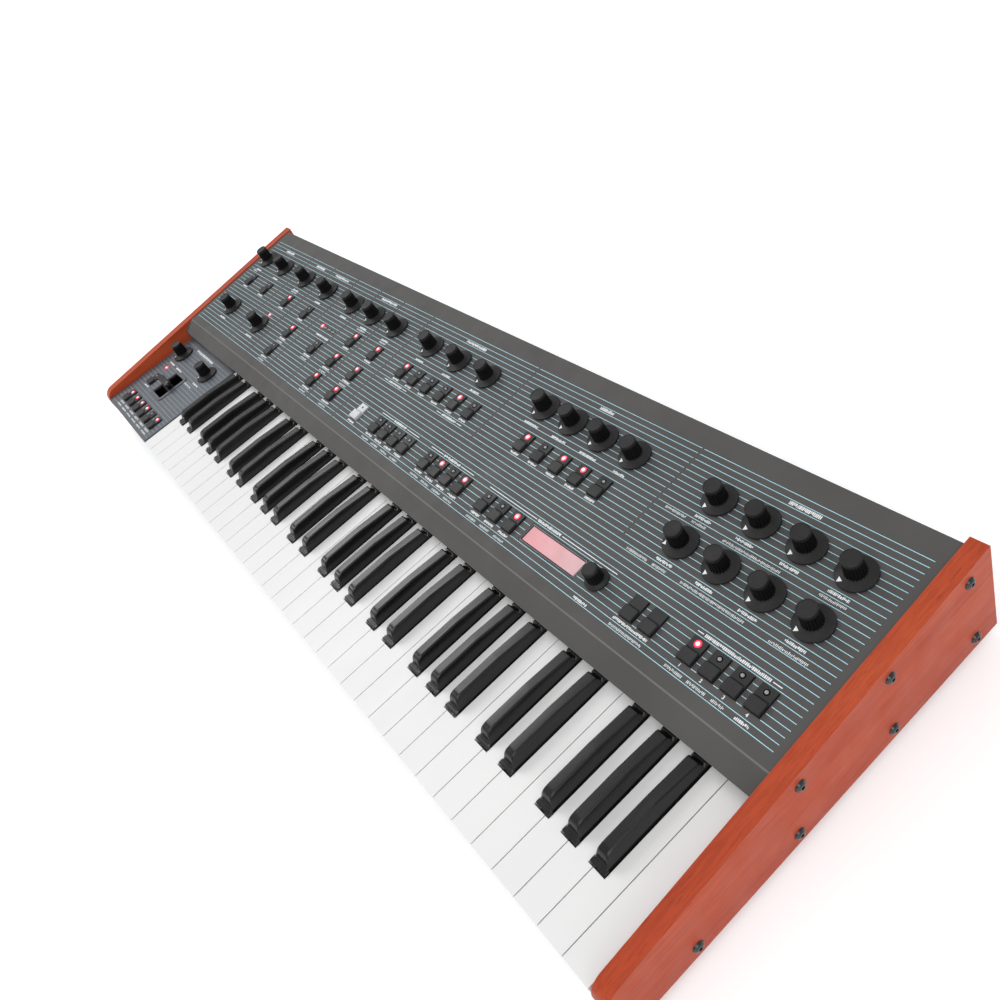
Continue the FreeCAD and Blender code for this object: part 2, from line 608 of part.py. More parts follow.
def keybed_frame():
    """The steel chassis under the keys: base, stop rail, rear web and an end bracket for each rod end."""
    width = f"({OCTAVES * WHITES_PER_OCTAVE + 1}*key_pitch)"
    floor = "(cheek_bottom + bed_lift - key_top)"
    base = box(0, "bed_front", floor, width, "bed_back - bed_front", "steel")
    rail = box(0, "rail_front", floor, width, "rail_depth", "steel + rail_height")
    web = box(0, "bed_back - steel", floor, width, "steel", f"0 - {floor} - pivot_drop")
    brackets = [box(x, "bed_back - bracket_depth", floor, "bracket", "bracket_depth", "bracket_height")
                for x in ("0 - bracket", width)]
    bore = cylinder("0 - 5", "pivot_run", "0 - pivot_drop", "rod_radius", f"{width} + 10", "x")
    return node(on_keyboard(cut(fuse([base, rail, web] + brackets), [bore])), "keybed_frame")


def key_pivot_rod():
    width = f"({OCTAVES * WHITES_PER_OCTAVE + 1}*key_pitch)"
    rod = cylinder("0 - bracket", "pivot_run", "0 - pivot_drop", "rod_radius", f"{width} + 2*bracket", "x")
    return node(on_keyboard(group([rod])), "key_pivot_rod")


# ---------------------------------------------------------------- inner boards and rear sockets

def inner_board(place_and_size, tall_parts, name):
    x, y, length, width = place_and_size
    level = "cheek_bottom + steel + board_stud"
    board = slab(x, y, level, length, width, "board")
    parts = [slab(x + across, y + back, f"{level} + board", long, wide, high)
             for across, back, long, wide, high in tall_parts]
    return node(fuse([board] + parts), name)


def jack(x):
    """A 6.35 mm jack socket: a square housing, a bushing through the wall, a nut and the bore."""
    housing = box(f"{x} - jack_size/2", "case_back - steel - jack_depth", "socket_height - jack_size/2",
                  "jack_size", "jack_depth", "jack_size")
    bushing = cylinder(x, "case_back - steel", "socket_height", "jack_bushing", "bushing_depth", "y")
    nut = cylinder(x, "case_back", "socket_height", "jack_nut", "nut_depth", "y")
    bore = cylinder(x, "case_back - steel - jack_depth + 2", "socket_height", "jack_bore",
                    "jack_depth + bushing_depth", "y")
    return cut(fuse([housing, bushing, nut]), [bore])


def din_socket(x):
    """A round five-pin socket, as a solid insert."""
    return cylinder(x, "case_back - steel - din_depth", "socket_height", "din_radius",
                    "din_depth + steel + 1", "y")


def framed(x, width, height, depth, proud, hollow_width, hollow_height, hollow_depth):
    """A rectangular housing through the rear wall with a recess in its outer face."""
    housing = box(f"{x} - ({width})/2", f"case_back - {depth}", f"socket_height - ({height})/2", width,
                  f"{depth} + {proud}", height)
    recess = box(f"{x} - ({hollow_width})/2", f"case_back + {proud} - {hollow_depth}",
                 f"socket_height - ({hollow_height})/2", hollow_width, f"{hollow_depth} + 1", hollow_height)
    return housing, recess


def rear_sockets():
    pieces = [jack(x) for x in JACKS] + [din_socket(x) for x in DIN_SOCKETS]
    housing, recess = framed(USB_PLACE, USB_WIDTH, USB_HEIGHT, 14, 1, 9, 8, 9)
    tongue = slab(USB_PLACE, "case_back - 4", "socket_height - 1.6", 5.6, 7, 3.2)
    pieces.append(fuse([cut(housing, [recess]), tongue]))
    housing, recess = framed(INLET_PLACE, "inlet_width", "inlet_height", "inlet_depth", 2.5, 24.2, 16.4, 16)
    blades = [slab(INLET_PLACE + across, "case_back - 8.5", f"socket_height + {up}", 2, 10, 4)
              for across, up in ((-7, -4), (7, -4), (0, 1))]
    pieces.append(fuse([cut(housing, [recess])] + blades))
    housing, recess = framed(ROCKER_PLACE, "rocker_width + 3", "rocker_height + 3", 11, "rocker_frame",
                             "rocker_width + 0.8", "rocker_height + 1.6", 12)
    pieces.append(cut(housing, [recess, rocker_axle("rocker_width + 2.4", "rocker_pin + 0.1")]))
    return node(group(pieces), "rear_sockets")


def rocker_axle(length, radius):
    """A cylinder of the given length on the line that the rocker tips about."""
    return cylinder(f"{ROCKER_PLACE} - ({length})/2", "case_back + 0.5", "socket_height", radius, length, "x")


def power_rocker():
    rocker = box(f"{ROCKER_PLACE} - rocker_width/2", "case_back - rocker_depth/2 + 0.5",
                 "socket_height - rocker_height/2", "rocker_width", "rocker_depth", "rocker_height")
    return node(fuse([rocker, rocker_axle("rocker_width + 2", "rocker_pin")]), "power_rocker")


# ---------------------------------------------------------------- assembly

PANEL_BUTTONS = {
    "buttons_back_row": [(x, ROW_BACK) for x in BACK_BUTTONS],
    "buttons_front_rows": [(x, ROW_MIDDLE) for x in MIDDLE_BUTTONS] + [(x, ROW_FRONT) for x in FRONT_BUTTONS],
    "value_buttons": [(x, ROW_FRONT) for x in VALUE_BUTTONS],
    "preset_buttons": [(x, ROW_FRONT) for x in PRESET_BUTTONS],
}
BLOCK_BUTTON_PLACES = [(x, BLOCK_ROW) for x in BLOCK_BUTTONS] + [BLOCK_EXTRA]

cheek("left_cheek", "0 - interior_width/2 - cheek_thickness")
cheek("right_cheek", "interior_width/2")
cheek_screws()
bottom_case()
rubber_feet()
top_panel()
performance_panel()
display_module()
control_board()
potentiometers()
indicator_leds()
inner_board(MAIN_BOARD, MAIN_BOARD_PARTS, "main_board")
inner_board(SUPPLY_BOARD, SUPPLY_BOARD_PARTS, "power_supply")
keybed_frame()
key_pivot_rod()
rear_sockets()
power_rocker()
bender_lever()
button_sets()
knobs()
for octave in range(OCTAVES):
    is_last = octave == OCTAVES - 1
    white_keys(octave, WHITES_PER_OCTAVE + (1 if is_last else 0))
    black_keys(octave)
doc.recompute()

for item in doc.Objects:
    if "Invalid" in item.State or "Error" in item.State:
        raise RuntimeError(f"{item.Label} failed: {item.State}")
for item in nodes:
    if item.Shape.isNull() or not item.Shape.isValid() or not item.Shape.Solids:
        raise RuntimeError(f"{item.Label} has no valid solid")

os.makedirs("parts", exist_ok=True)
for item in nodes:
    item.Shape.exportStep(f"parts/{item.Label}.step")
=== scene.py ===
import json
import math
import random

import bmesh
import bpy
from mathutils import Matrix, Vector


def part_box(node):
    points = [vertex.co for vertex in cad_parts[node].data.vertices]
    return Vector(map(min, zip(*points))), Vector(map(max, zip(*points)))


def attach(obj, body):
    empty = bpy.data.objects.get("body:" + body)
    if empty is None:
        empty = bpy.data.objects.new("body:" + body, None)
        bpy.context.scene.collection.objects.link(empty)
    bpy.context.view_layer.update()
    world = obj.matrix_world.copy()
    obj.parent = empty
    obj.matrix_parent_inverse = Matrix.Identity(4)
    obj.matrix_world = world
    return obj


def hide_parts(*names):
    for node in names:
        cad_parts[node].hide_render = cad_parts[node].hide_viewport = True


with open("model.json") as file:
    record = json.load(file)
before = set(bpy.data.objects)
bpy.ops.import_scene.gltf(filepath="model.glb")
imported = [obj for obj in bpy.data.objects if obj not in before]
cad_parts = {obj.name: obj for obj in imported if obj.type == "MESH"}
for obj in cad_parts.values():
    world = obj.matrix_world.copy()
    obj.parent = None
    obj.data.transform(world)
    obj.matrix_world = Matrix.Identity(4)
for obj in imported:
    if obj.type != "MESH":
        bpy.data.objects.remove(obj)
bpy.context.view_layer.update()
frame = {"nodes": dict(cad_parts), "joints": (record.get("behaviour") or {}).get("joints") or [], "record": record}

MM = 0.001
BASE = "base"
SHARP = math.radians(32)
# The two control surfaces. On each, x runs right, y runs back from the front edge and z stands off it.
PANEL = Matrix.Translation((0, -0.0135, 0.072)) @ Matrix.Rotation(math.radians(5.5), 4, "X")
BLOCK = Matrix.Translation((0, -0.1655, 0.051))
LEVEL = Matrix.Identity(4)


# ---------------------------------------------------------------- what the frame says

joint_of = {joint["child"]: joint for joint in frame["joints"]}
nodes = frame["nodes"]


def spot_of(body, surface):
    """The (x, y) of a turning body's axis on one control surface, in millimetres."""
    point = surface.inverted() @ Vector(joint_of[body]["pos_m"])
    return point.x / MM, point.y / MM


def islands(node, surface):
    """(lowest, highest) corners of each separate solid of a CAD node on one surface, in millimetres."""
    work = bmesh.new()
    work.from_mesh(nodes[node].data)
    bmesh.ops.remove_doubles(work, verts=work.verts, dist=1e-6)
    into = surface.inverted()
    seen, found = set(), []
    for start in work.verts:
        if start in seen:
            continue
        stack, members = [start], []
        seen.add(start)
        while stack:
            vert = stack.pop()
            members.append(into @ vert.co / MM)
            for edge in vert.link_edges:
                other = edge.other_vert(vert)
                if other not in seen:
                    seen.add(other)
                    stack.append(other)
        found.append(([min(p[i] for p in members) for i in range(3)],
                      [max(p[i] for p in members) for i in range(3)]))
    work.free()
    return found


def middles(node, surface):
    """The (x, y) middles of a node's solids, from left to right."""
    return sorted(((low[0] + high[0]) / 2, (low[1] + high[1]) / 2) for low, high in islands(node, surface))


# ---------------------------------------------------------------- materials

# A noise lies nearly all between these two values.
NOISE_LOW, NOISE_HIGH = 0.3, 0.7
COLOUR_OUT = 2      # a colour mix node's output


def shader(name):
    """A new material, its node tree and its shader."""
    material = bpy.data.materials.new(name)
    material.use_nodes = True
    tree = material.node_tree
    return material, tree, tree.nodes["Principled BSDF"]


def link(tree, source, output, target, socket):
    tree.links.new(source.outputs[output], target.inputs[socket])


def noise(tree, scale, detail, stretch=(1, 1, 1)):
    """A noise in the object's own coordinates; the scale is in features per metre."""
    where = tree.nodes.new("ShaderNodeTexCoord")
    fit = tree.nodes.new("ShaderNodeMapping")
    fit.inputs["Scale"].default_value = stretch
    pattern = tree.nodes.new("ShaderNodeTexNoise")
    pattern.inputs["Scale"].default_value = scale
    pattern.inputs["Detail"].default_value = detail
    link(tree, where, "Object", fit, "Vector")
    link(tree, fit, 0, pattern, "Vector")
    return pattern


def ramp(tree, source, stops):
    """A colour ramp; stops are (place, colour)."""
    made = tree.nodes.new("ShaderNodeValToRGB")
    elements = made.color_ramp.elements
    while len(elements) < len(stops):
        elements.new(0.5)
    for element, (place, colour) in zip(elements, stops):
        element.position = place
        element.color = (*colour, 1)
    link(tree, source, 0, made, "Fac")
    return made


def spread(tree, source, low, high):
    """Maps the middle of a noise, where nearly all of it lies, onto a range of values."""
    made = tree.nodes.new("ShaderNodeMapRange")
    made.inputs["From Min"].default_value = NOISE_LOW
    made.inputs["From Max"].default_value = NOISE_HIGH
    made.inputs["To Min"].default_value = low
    made.inputs["To Max"].default_value = high
    link(tree, source, 0, made, "Value")
    return made


def mixed(tree, factor, first, second, mode="MIX"):
    """Mixes two colour outputs; each is (node, output), or a constant for the factor or the second colour."""
    made = tree.nodes.new("ShaderNodeMix")
    made.data_type = "RGBA"
    made.blend_type = mode
    for value, socket in ((factor, 0), (first, 6), (second, 7)):
        if isinstance(value, tuple) and len(value) == 2:
            tree.links.new(value[0].outputs[value[1]], made.inputs[socket])
        else:
            made.inputs[socket].default_value = value
    return made


def bumped(tree, principled, source, strength, distance):
    """Raises the surface a little where a noise is bright."""
    made = tree.nodes.new("ShaderNodeBump")
    made.inputs["Strength"].default_value = strength
    made.inputs["Distance"].default_value = distance
    link(tree, source, 0, made, "Height")
    link(tree, made, "Normal", principled, "Normal")


def finish_of(name, dark, light, patch, rough, grain, bump, depth, metallic=0.0, specular=0.5,
              stretch=(1, 1, 1), sheen_patch=60):
    """A plain finish: patches of colour, uneven roughness and a fine grain.

    patch, sheen_patch and grain are in features per metre, and depth is the grain's depth in metres.
    """
    material, tree, principled = shader(name)
    colour = ramp(tree, noise(tree, patch, 5, stretch), [(NOISE_LOW, dark), (NOISE_HIGH, light)])
    link(tree, colour, "Color", principled, "Base Color")
    link(tree, spread(tree, noise(tree, sheen_patch, 6, stretch), *rough), 0, principled, "Roughness")
    bumped(tree, principled, noise(tree, grain, 2, stretch), bump, depth)
    principled.inputs["Metallic"].default_value = metallic
    principled.inputs["Specular IOR Level"].default_value = specular
    return material


def wood_finish():
    """Stained and varnished hardwood with its grain along the cheek."""
    material, tree, principled = shader("stained_wood")
    broad = noise(tree, 9, 6, (3, 0.35, 3))
    fine = noise(tree, 150, 8, (4, 0.14, 4))
    pores = noise(tree, 900, 3, (1, 0.05, 1))
    tone = ramp(tree, broad, [(0.3, (0.38, 0.046, 0.015)), (0.52, (0.46, 0.066, 0.021)),
                              (0.72, (0.53, 0.094, 0.031))])
    streak = ramp(tree, fine, [(0.35, (0.62, 0.5, 0.45)), (0.6, (1, 1, 1))])
    grained = mixed(tree, 0.45, (tone, 0), (streak, 0), "MULTIPLY")
    speck = ramp(tree, pores, [(0.62, (0, 0, 0)), (0.74, (0.55, 0.55, 0.55))])
    colour = mixed(tree, (speck, 0), (grained, COLOUR_OUT), (0.16, 0.022, 0.009, 1))
    link(tree, colour, COLOUR_OUT, principled, "Base Color")
    link(tree, spread(tree, noise(tree, 45, 5), 0.36, 0.55), 0, principled, "Roughness")
    bumped(tree, principled, fine, 0.12, 0.0004)
    principled.inputs["Coat Weight"].default_value = 0.06
    principled.inputs["Coat Roughness"].default_value = 0.28
    principled.inputs["Specular IOR Level"].default_value = 0.18
    return material


def lamp_finish(name, dark, light, strength):
    """A moulded lens, lit from within where the strength is above nothing."""
    material, tree, principled = shader(name)
    wobble = noise(tree, 700, 3)
    colour = ramp(tree, wobble, [(NOISE_LOW, dark), (NOISE_HIGH, light)])
    link(tree, colour, "Color", principled, "Base Color")
    link(tree, colour, "Color", principled, "Emission Color")
    principled.inputs["Emission Strength"].default_value = strength
    link(tree, spread(tree, wobble, 0.15, 0.3), 0, principled, "Roughness")
    return material


def add_crease(material, y, half, light):
    """Paints a highlight along a bend that runs across the object at one depth: a lighter band of colour standing
    for the light the bend catches.
    """
    tree = material.node_tree
    principled = tree.nodes["Principled BSDF"]
    paint = principled.inputs["Base Color"].links[0].from_node
    where = tree.nodes.new("ShaderNodeTexCoord")
    parts = tree.nodes.new("ShaderNodeSeparateXYZ")
    link(tree, where, "Object", parts, "Vector")
    across = tree.nodes.new("ShaderNodeMapRange")
    across.inputs["From Min"].default_value = y - half
    across.inputs["From Max"].default_value = y + half
    link(tree, parts, "Y", across, "Value")
    highlight_band = ramp(tree, across, [(0, (0, 0, 0)), (0.5, (0.85, 0.85, 0.85)), (1, (0, 0, 0))])
    link(tree, mixed(tree, (highlight_band, 0), (paint, 0), light), COLOUR_OUT, principled, "Base Color")


def glow_finish():
    """The lit display: rosier at its left end, paler at its right, with faint character cells."""
    glass_left, glass_right = 0.237, 0.302
    material, tree, principled = shader("display_glow")
    where = tree.nodes.new("ShaderNodeTexCoord")
    parts = tree.nodes.new("ShaderNodeSeparateXYZ")
    link(tree, where, "Object", parts, "Vector")
    along = tree.nodes.new("ShaderNodeMapRange")
    along.inputs["From Min"].default_value = glass_left
    along.inputs["From Max"].default_value = glass_right
    link(tree, parts, "X", along, "Value")
    tint = ramp(tree, along, [(0.0, (0.85, 0.30, 0.34)), (0.12, (1.0, 0.35, 0.40)),
                              (0.5, (0.95, 0.42, 0.45)), (1.0, (0.86, 0.51, 0.54))])
    cells = tree.nodes.new("ShaderNodeTexBrick")
    cells.inputs["Scale"].default_value = 1
    cells.inputs["Color1"].default_value = (1, 1, 1, 1)
    cells.inputs["Color2"].default_value = (0.96, 0.93, 0.94, 1)
    cells.inputs["Mortar"].default_value = (0.90, 0.84, 0.86, 1)
    cells.inputs["Mortar Size"].default_value = 0.0002
    cells.inputs["Brick Width"].default_value = 0.0036
    cells.inputs["Row Height"].default_value = 0.0058
    cells.offset = 0
    link(tree, where, "Object", cells, "Vector")
    colour = mixed(tree, 0.6, (tint, 0), (cells, 0), "MULTIPLY")
    glass = ramp(tree, noise(tree, 80, 3),
                 [(NOISE_LOW, (0.05, 0.015, 0.018)), (NOISE_HIGH, (0.07, 0.022, 0.026))])
    link(tree, glass, "Color", principled, "Base Color")
    link(tree, colour, COLOUR_OUT, principled, "Emission Color")
    principled.inputs["Emission Strength"].default_value = 0.61
    link(tree, spread(tree, noise(tree, 70, 3), 0.18, 0.3), 0, principled, "Roughness")
    return material


PAINT = finish_of("panel_paint", (0.076, 0.073, 0.071), (0.091, 0.088, 0.085), patch=14, rough=(0.48, 0.62),
                  grain=2600, bump=0.25, depth=0.00006, specular=0.2)
BLOCK_PAINT = finish_of("block_paint", (0.080, 0.086, 0.098), (0.102, 0.109, 0.123), patch=14,
                        rough=(0.40, 0.52), grain=2600, bump=0.25, depth=0.00006, specular=0.45)
CASE = finish_of("case_paint", (0.020, 0.020, 0.021), (0.028, 0.028, 0.029), patch=14, rough=(0.45, 0.62),
                 grain=1800, bump=0.4, depth=0.0001)
STRIPE = finish_of("stripe_ink", (0.38, 0.68, 0.79), (0.48, 0.80, 0.91), patch=30, rough=(0.5, 0.65),
                   grain=2500, bump=0.1, depth=0.00003, specular=0.3)
# The block's stripes: the panel's cyan ink painted greyer and dimmer, a painted sheen standing for the reflection
# that veils them.
SHEENED_STRIPE = finish_of("block_stripe_ink_painted_sheen", (0.22, 0.32, 0.38), (0.29, 0.40, 0.47), patch=30,
                        rough=(0.5, 0.65), grain=2500, bump=0.1, depth=0.00003, specular=0.3)
INK = finish_of("white_ink", (0.74, 0.76, 0.78), (0.86, 0.87, 0.88), patch=40, rough=(0.45, 0.6),
                grain=2500, bump=0.1, depth=0.00003)
KNOB = finish_of("knob_plastic", (0.010, 0.0098, 0.0095), (0.016, 0.0155, 0.015), patch=160,
                 rough=(0.45, 0.6), grain=3500, bump=0.3, depth=0.00005, specular=0.32)
# The grip: a darker copy of the knob plastic, painted shade standing for the shadow deep in the flutes, with a
# rougher, duller finish.
SHADED_RIBS = finish_of("knob_grip_painted_shade", (0.0035, 0.0034, 0.0033), (0.006, 0.0058, 0.0056), patch=160,
                 rough=(0.5, 0.65), grain=3500, bump=0.3, depth=0.00005, specular=0.14)
BUTTON = finish_of("button_plastic", (0.014, 0.014, 0.0145), (0.022, 0.022, 0.0225), patch=120,
                   rough=(0.42, 0.58), grain=3200, bump=0.3, depth=0.00005, specular=0.32)
GLOSS = finish_of("gloss_black", (0.005, 0.005, 0.005), (0.009, 0.009, 0.009), patch=90, rough=(0.16, 0.3),
                  grain=2500, bump=0.1, depth=0.00003)
GREY_CAP = finish_of("grey_cap", (0.52, 0.53, 0.55), (0.62, 0.63, 0.65), patch=120, rough=(0.38, 0.5),
                     grain=3200, bump=0.2, depth=0.00005)
IVORY = finish_of("white_key", (0.765, 0.765, 0.76), (0.805, 0.805, 0.795), patch=9, rough=(0.34, 0.46),
                  grain=900, bump=0.03, depth=0.00004, specular=0.3, stretch=(1, 0.25, 1))
EBONY = finish_of("black_key", (0.004, 0.004, 0.004), (0.008, 0.0078, 0.0076), patch=30, rough=(0.20, 0.32),
                  grain=1300, bump=0.08, depth=0.00004, specular=0.45, stretch=(1, 0.12, 1),
                  sheen_patch=160)
RUBBER = finish_of("rubber", (0.016, 0.016, 0.016), (0.026, 0.026, 0.025), patch=60, rough=(0.7, 0.88),
                   grain=1500, bump=0.5, depth=0.0002)
STEEL = finish_of("bare_steel", (0.42, 0.42, 0.43), (0.58, 0.58, 0.59), patch=30, rough=(0.28, 0.42),
                  grain=900, bump=0.1, depth=0.0001, metallic=1.0, stretch=(0.1, 1, 1))
NICKEL = finish_of("nickel", (0.62, 0.61, 0.58), (0.75, 0.74, 0.71), patch=200, rough=(0.16, 0.3),
                   grain=1500, bump=0.05, depth=0.00005, metallic=1.0)
BOARD = finish_of("circuit_board", (0.012, 0.075, 0.030), (0.022, 0.115, 0.046), patch=90,
                  rough=(0.3, 0.45), grain=500, bump=0.3, depth=0.0001)
SCREW = finish_of("black_screw", (0.008, 0.008, 0.008), (0.014, 0.014, 0.014), patch=200,
                  rough=(0.16, 0.26), grain=2000, bump=0.1, depth=0.00005, specular=0.7)
LENS_OFF = lamp_finish("lamp_unlit", (0.26, 0.26, 0.27), (0.36, 0.36, 0.37), 0.0)
LENS_ON = lamp_finish("lamp_lit", (1.0, 0.44, 0.50), (1.0, 0.56, 0.61), 1.1)
# Painted glow: a red collar round each lit lens, standing for the lamp's light spilling onto its surround.
LAMP_GLOW_HALO = lamp_finish("lamp_painted_glow_halo", (0.92, 0.012, 0.045), (1.0, 0.03, 0.08), 0.95)
# Near-black: on the lamps' rings partly their bezels and partly painted shade in the gaps round the lenses; on the
# sockets painted shade in the holes.
BEZEL_AND_HOLE_SHADE = finish_of("black_bezel_and_hole_shade", (0.0015, 0.0015, 0.0015), (0.003, 0.003, 0.003), patch=200,
                  rough=(0.5, 0.65), grain=2500, bump=0.1, depth=0.00003, specular=0.06)
# Painted highlight: a lighter band of paint along the panel's front bend, where the crease would catch the light.
add_crease(PAINT, y=-0.016, half=0.0009, light=(0.19, 0.187, 0.183, 1))
WOOD = wood_finish()
GLOW = glow_finish()


# ---------------------------------------------------------------- mesh building

class Shape:
    """Closed shells in the millimetres of one surface, gathered into one mesh."""

    def __init__(self):
        self.points, self.faces, self.slots = [], [], []

    def add(self, points, faces, slot=0):
        start = len(self.points)
        self.points += [tuple(point) for point in points]
        self.faces += [[start + index for index in face] for face in faces]
        self.slots += [slot] * len(faces)
        return self

    def box(self, x0, x1, y0, y1, z0, z1, slot=0):
        corners = [(x, y, z) for z in (z0, z1) for x, y in ((x0, y0), (x1, y0), (x1, y1), (x0, y1))]
        sides = [[0, 3, 2, 1], [4, 5, 6, 7], [0, 1, 5, 4], [1, 2, 6, 5], [2, 3, 7, 6], [3, 0, 4, 7]]
        return self.add(corners, sides, slot)

    def loft(self, rows, slot=0, closed=False):
        """Joins equal loops of points; the ends are capped unless the rows close on themselves."""
        count = len(rows[0])
        faces = []
        for row in range(len(rows) - (0 if closed else 1)):
            here, there = row * count, (row + 1) % len(rows) * count
            for step in range(count):
                following = (step + 1) % count
                faces.append([here + step, here + following, there + following, there + step])
        if not closed:
            faces.append(list(reversed(range(count))))
            faces.append([(len(rows) - 1) * count + step for step in range(count)])
        return self.add([point for row in rows for point in row], faces, slot)

    def turned(self, profile, x, y, count, slot=0, closed=False):
        """Turns (radius, height) pairs, from the bottom up, about an upright axis."""
        turns = [math.tau * step / count for step in range(count)]
        rows = [[(x + radius * math.cos(turn), y + radius * math.sin(turn), height) for turn in turns]
                for radius, height in profile]
        return self.loft(rows, slot, closed)

    def cushion(self, x, y, width, length, z0, z1, corner, edge, slot=0, lean=0.0):
        """A block with rounded corners and a rounded top edge; lean raises its back edge."""
        levels = [(0, z0)] + [(edge * (1 - math.cos(turn)), z1 - edge * (1 - math.sin(turn)))
                              for turn in (0, math.pi / 6, math.pi / 3, math.pi / 2)]
        rows = [[(px, py, height + lean * (py - y) * (height > z0))
                 for px, py in rounded(x, y, width - 2 * inset, length - 2 * inset, corner)]
                for inset, height in levels]
        return self.loft(rows, slot)

    def build(self, name, materials, body, surface, slot, sharp=SHARP):
        """Makes the piece, riding on its body. The slot argument, a material slot's name, is not used."""
        mesh = bpy.data.meshes.new(name)
        mesh.from_pydata([surface @ (Vector(point) * MM) for point in self.points], [], self.faces)
        for material in materials:
            mesh.materials.append(material)
        mesh.polygons.foreach_set("material_index", self.slots)
        mesh.polygons.foreach_set("use_smooth", [len(face) <= 4 for face in self.faces])
        mesh.validate()
        mesh.set_sharp_from_angle(angle=sharp)
        piece = bpy.data.objects.new(name, mesh)
        bpy.context.scene.collection.objects.link(piece)
        even_normals(piece)
        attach(piece, body)
        return piece


def turn_outward(mesh):
    """Turns every shell's faces outward."""
    work = bmesh.new()
    work.from_mesh(mesh)
    bmesh.ops.recalc_face_normals(work, faces=work.faces)
    work.to_mesh(mesh)
    work.free()


def even_normals(item):
    """Lets the large faces set the shading of the rounded edges beside them."""
    even = item.modifiers.new("normals", "WEIGHTED_NORMAL")
    even.mode = "FACE_AREA"
    even.weight = 100
    even.keep_sharp = True


def rounded(x, y, width, length, corner, steps=4):
    """A rectangle's outline with rounded corners, anticlockwise."""
    points = []
    for across, along, start in ((1, -1, -90), (1, 1, 0), (-1, 1, 90), (-1, -1, 180)):
        for step in range(steps + 1):
            turn = math.radians(start + 90 * step / steps)
            points.append((x + across * (width / 2 - corner) + corner * math.cos(turn),
                           y + along * (length / 2 - corner) + corner * math.sin(turn)))
    return points


def reshade(node, material, bevel=0.3, segments=2, angle=30):
    """Gives a CAD node its material, with its seams closed and its edges softened by modifiers."""
    item = nodes[node]
    item.data.materials.clear()
    item.data.materials.append(material)
    weld = item.modifiers.new("weld", "WELD")
    weld.merge_threshold = 1e-6
    flat = item.modifiers.new("dissolve", "DECIMATE")
    flat.decimate_type = "DISSOLVE"
    flat.angle_limit = math.radians(1)
    if bevel:
        soft = item.modifiers.new("bevel", "BEVEL")
        soft.width = bevel * MM
        soft.segments = segments
        soft.limit_method = "ANGLE"
        soft.angle_limit = math.radians(angle)
        item.data.polygons.foreach_set("use_smooth", [True] * len(item.data.polygons))
        even_normals(item)


# ---------------------------------------------------------------- CAD nodes that stay

for number in range(1, 6):
    reshade(f"white_keys_{number}", IVORY, 0.45, 3)
for side in ("left", "right"):
    reshade(f"{side}_cheek", WOOD, 0.9, 3)
reshade("top_panel", PAINT, 0.15, 1, 40)
reshade("performance_panel", BLOCK_PAINT, 0.2, 2, 40)
reshade("bottom_case", CASE, 0.3, 2, 40)
reshade("rubber_feet", RUBBER, 0.8, 3, 40)
reshade("display_module", GLOSS, 0.1, 1)
reshade("control_board", BOARD, 0)
reshade("main_board", BOARD, 0.1, 1)
reshade("power_supply", BOARD, 0.1, 1)
reshade("potentiometers", STEEL, 0.1, 1, 40)
reshade("keybed_frame", STEEL, 0.1, 1, 40)
reshade("key_pivot_rod", STEEL, 0)
reshade("rear_sockets", GLOSS, 0.2, 2, 40)
reshade("power_rocker", GLOSS, 0.4, 3, 40)


# ---------------------------------------------------------------- black keys

# On the keyboard x runs right, y back from the keys' fronts and z up from the white keys' tops.
KEYS = Matrix.Translation((-0.343, -0.1655, 0.050))
KEY_HALF, KEY_LEAN, KEY_CHAMFER, KEY_BOTTOM = 6.5, 0.226, 1.05, -9
KEY_TOP, KEY_CREASE, KEY_END = 11.0, 95, 211.8
KEY_FALL = (KEY_TOP - 8.1) / (131 - KEY_CREASE)
# (distance back, height) of a black key's ridge: the nose, the level part, the falling rear and the tail.
RIDGE = ((49.4, 1.7), (50.6, 1.9), (51.3, 2.6), (52.0, 4.0), (52.7, 6.0), (53.6, 8.0), (54.9, 9.5),
         (56.5, 10.4), (58.4, 10.85), (60.5, KEY_TOP), (KEY_CREASE, KEY_TOP), (95.4, 10.98),
         (130.3, KEY_TOP - 35 * KEY_FALL), (131.2, 7.7), (131.7, 6.6), (131.8, 3.5), (132.1, 3.0),
         (132.5, 3.0), (134.1, 4.3), (134.8, 4.4), (151.5, 4.4))
# The rear end under the panel, as (half width, height), and the loops of the foot as (distance back, height).
STUB = [(KEY_HALF, KEY_BOTTOM), (KEY_HALF, -0.4), (6.45, -0.2), (6.35, -0.1), (6.2, -0.02), (6.0, 0)]
FOOT = ((46.9, 0.1), (46.95, 1.1), (47.3, 1.45), (49.9, 1.6), (50.3, 1.6))
FOOT_HALF, FOOT_TOP_HALF = 7.05, 6.8


def key_section(x, y, top):
    """One upright loop across a black key, with a chamfer along each side of its top."""
    side = STUB
    if top > 0:
        crown = max(top - KEY_CHAMFER, 0.15)
        half = KEY_HALF - KEY_LEAN * crown
        flat = half - 1.15
        side = [(KEY_HALF, KEY_BOTTOM), (KEY_HALF, 0), (half, crown), (half - 0.15, crown + 0.22),
                (flat + 0.22, top - 0.1), (flat, top)]
    return [(x + across, y, z) for across, z in side + [(-across, z) for across, z in reversed(side)]]


for number in range(1, 6):
    name = f"black_keys_{number}"
    shape = Shape()
    for x, y in middles(name, KEYS):
        shape.loft([key_section(x, *spot) for spot in RIDGE]
                   + [key_section(x, back, 0) for back in (151.7, KEY_END)])
        foot = []
        for back, z in FOOT:
            shoulder = z - 0.35 * (z > 0.6)
            side = [(FOOT_HALF, 0.02), (FOOT_HALF, shoulder), (FOOT_TOP_HALF, z)]
            foot.append([(x + across, back, up)
                         for across, up in side + [(-across, up) for across, up in reversed(side)]])
        shape.loft(foot)
    piece = shape.build("caps_" + name, [EBONY], name, KEYS, "black_key", math.radians(50))
    turn_outward(piece.data)
    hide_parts(name)


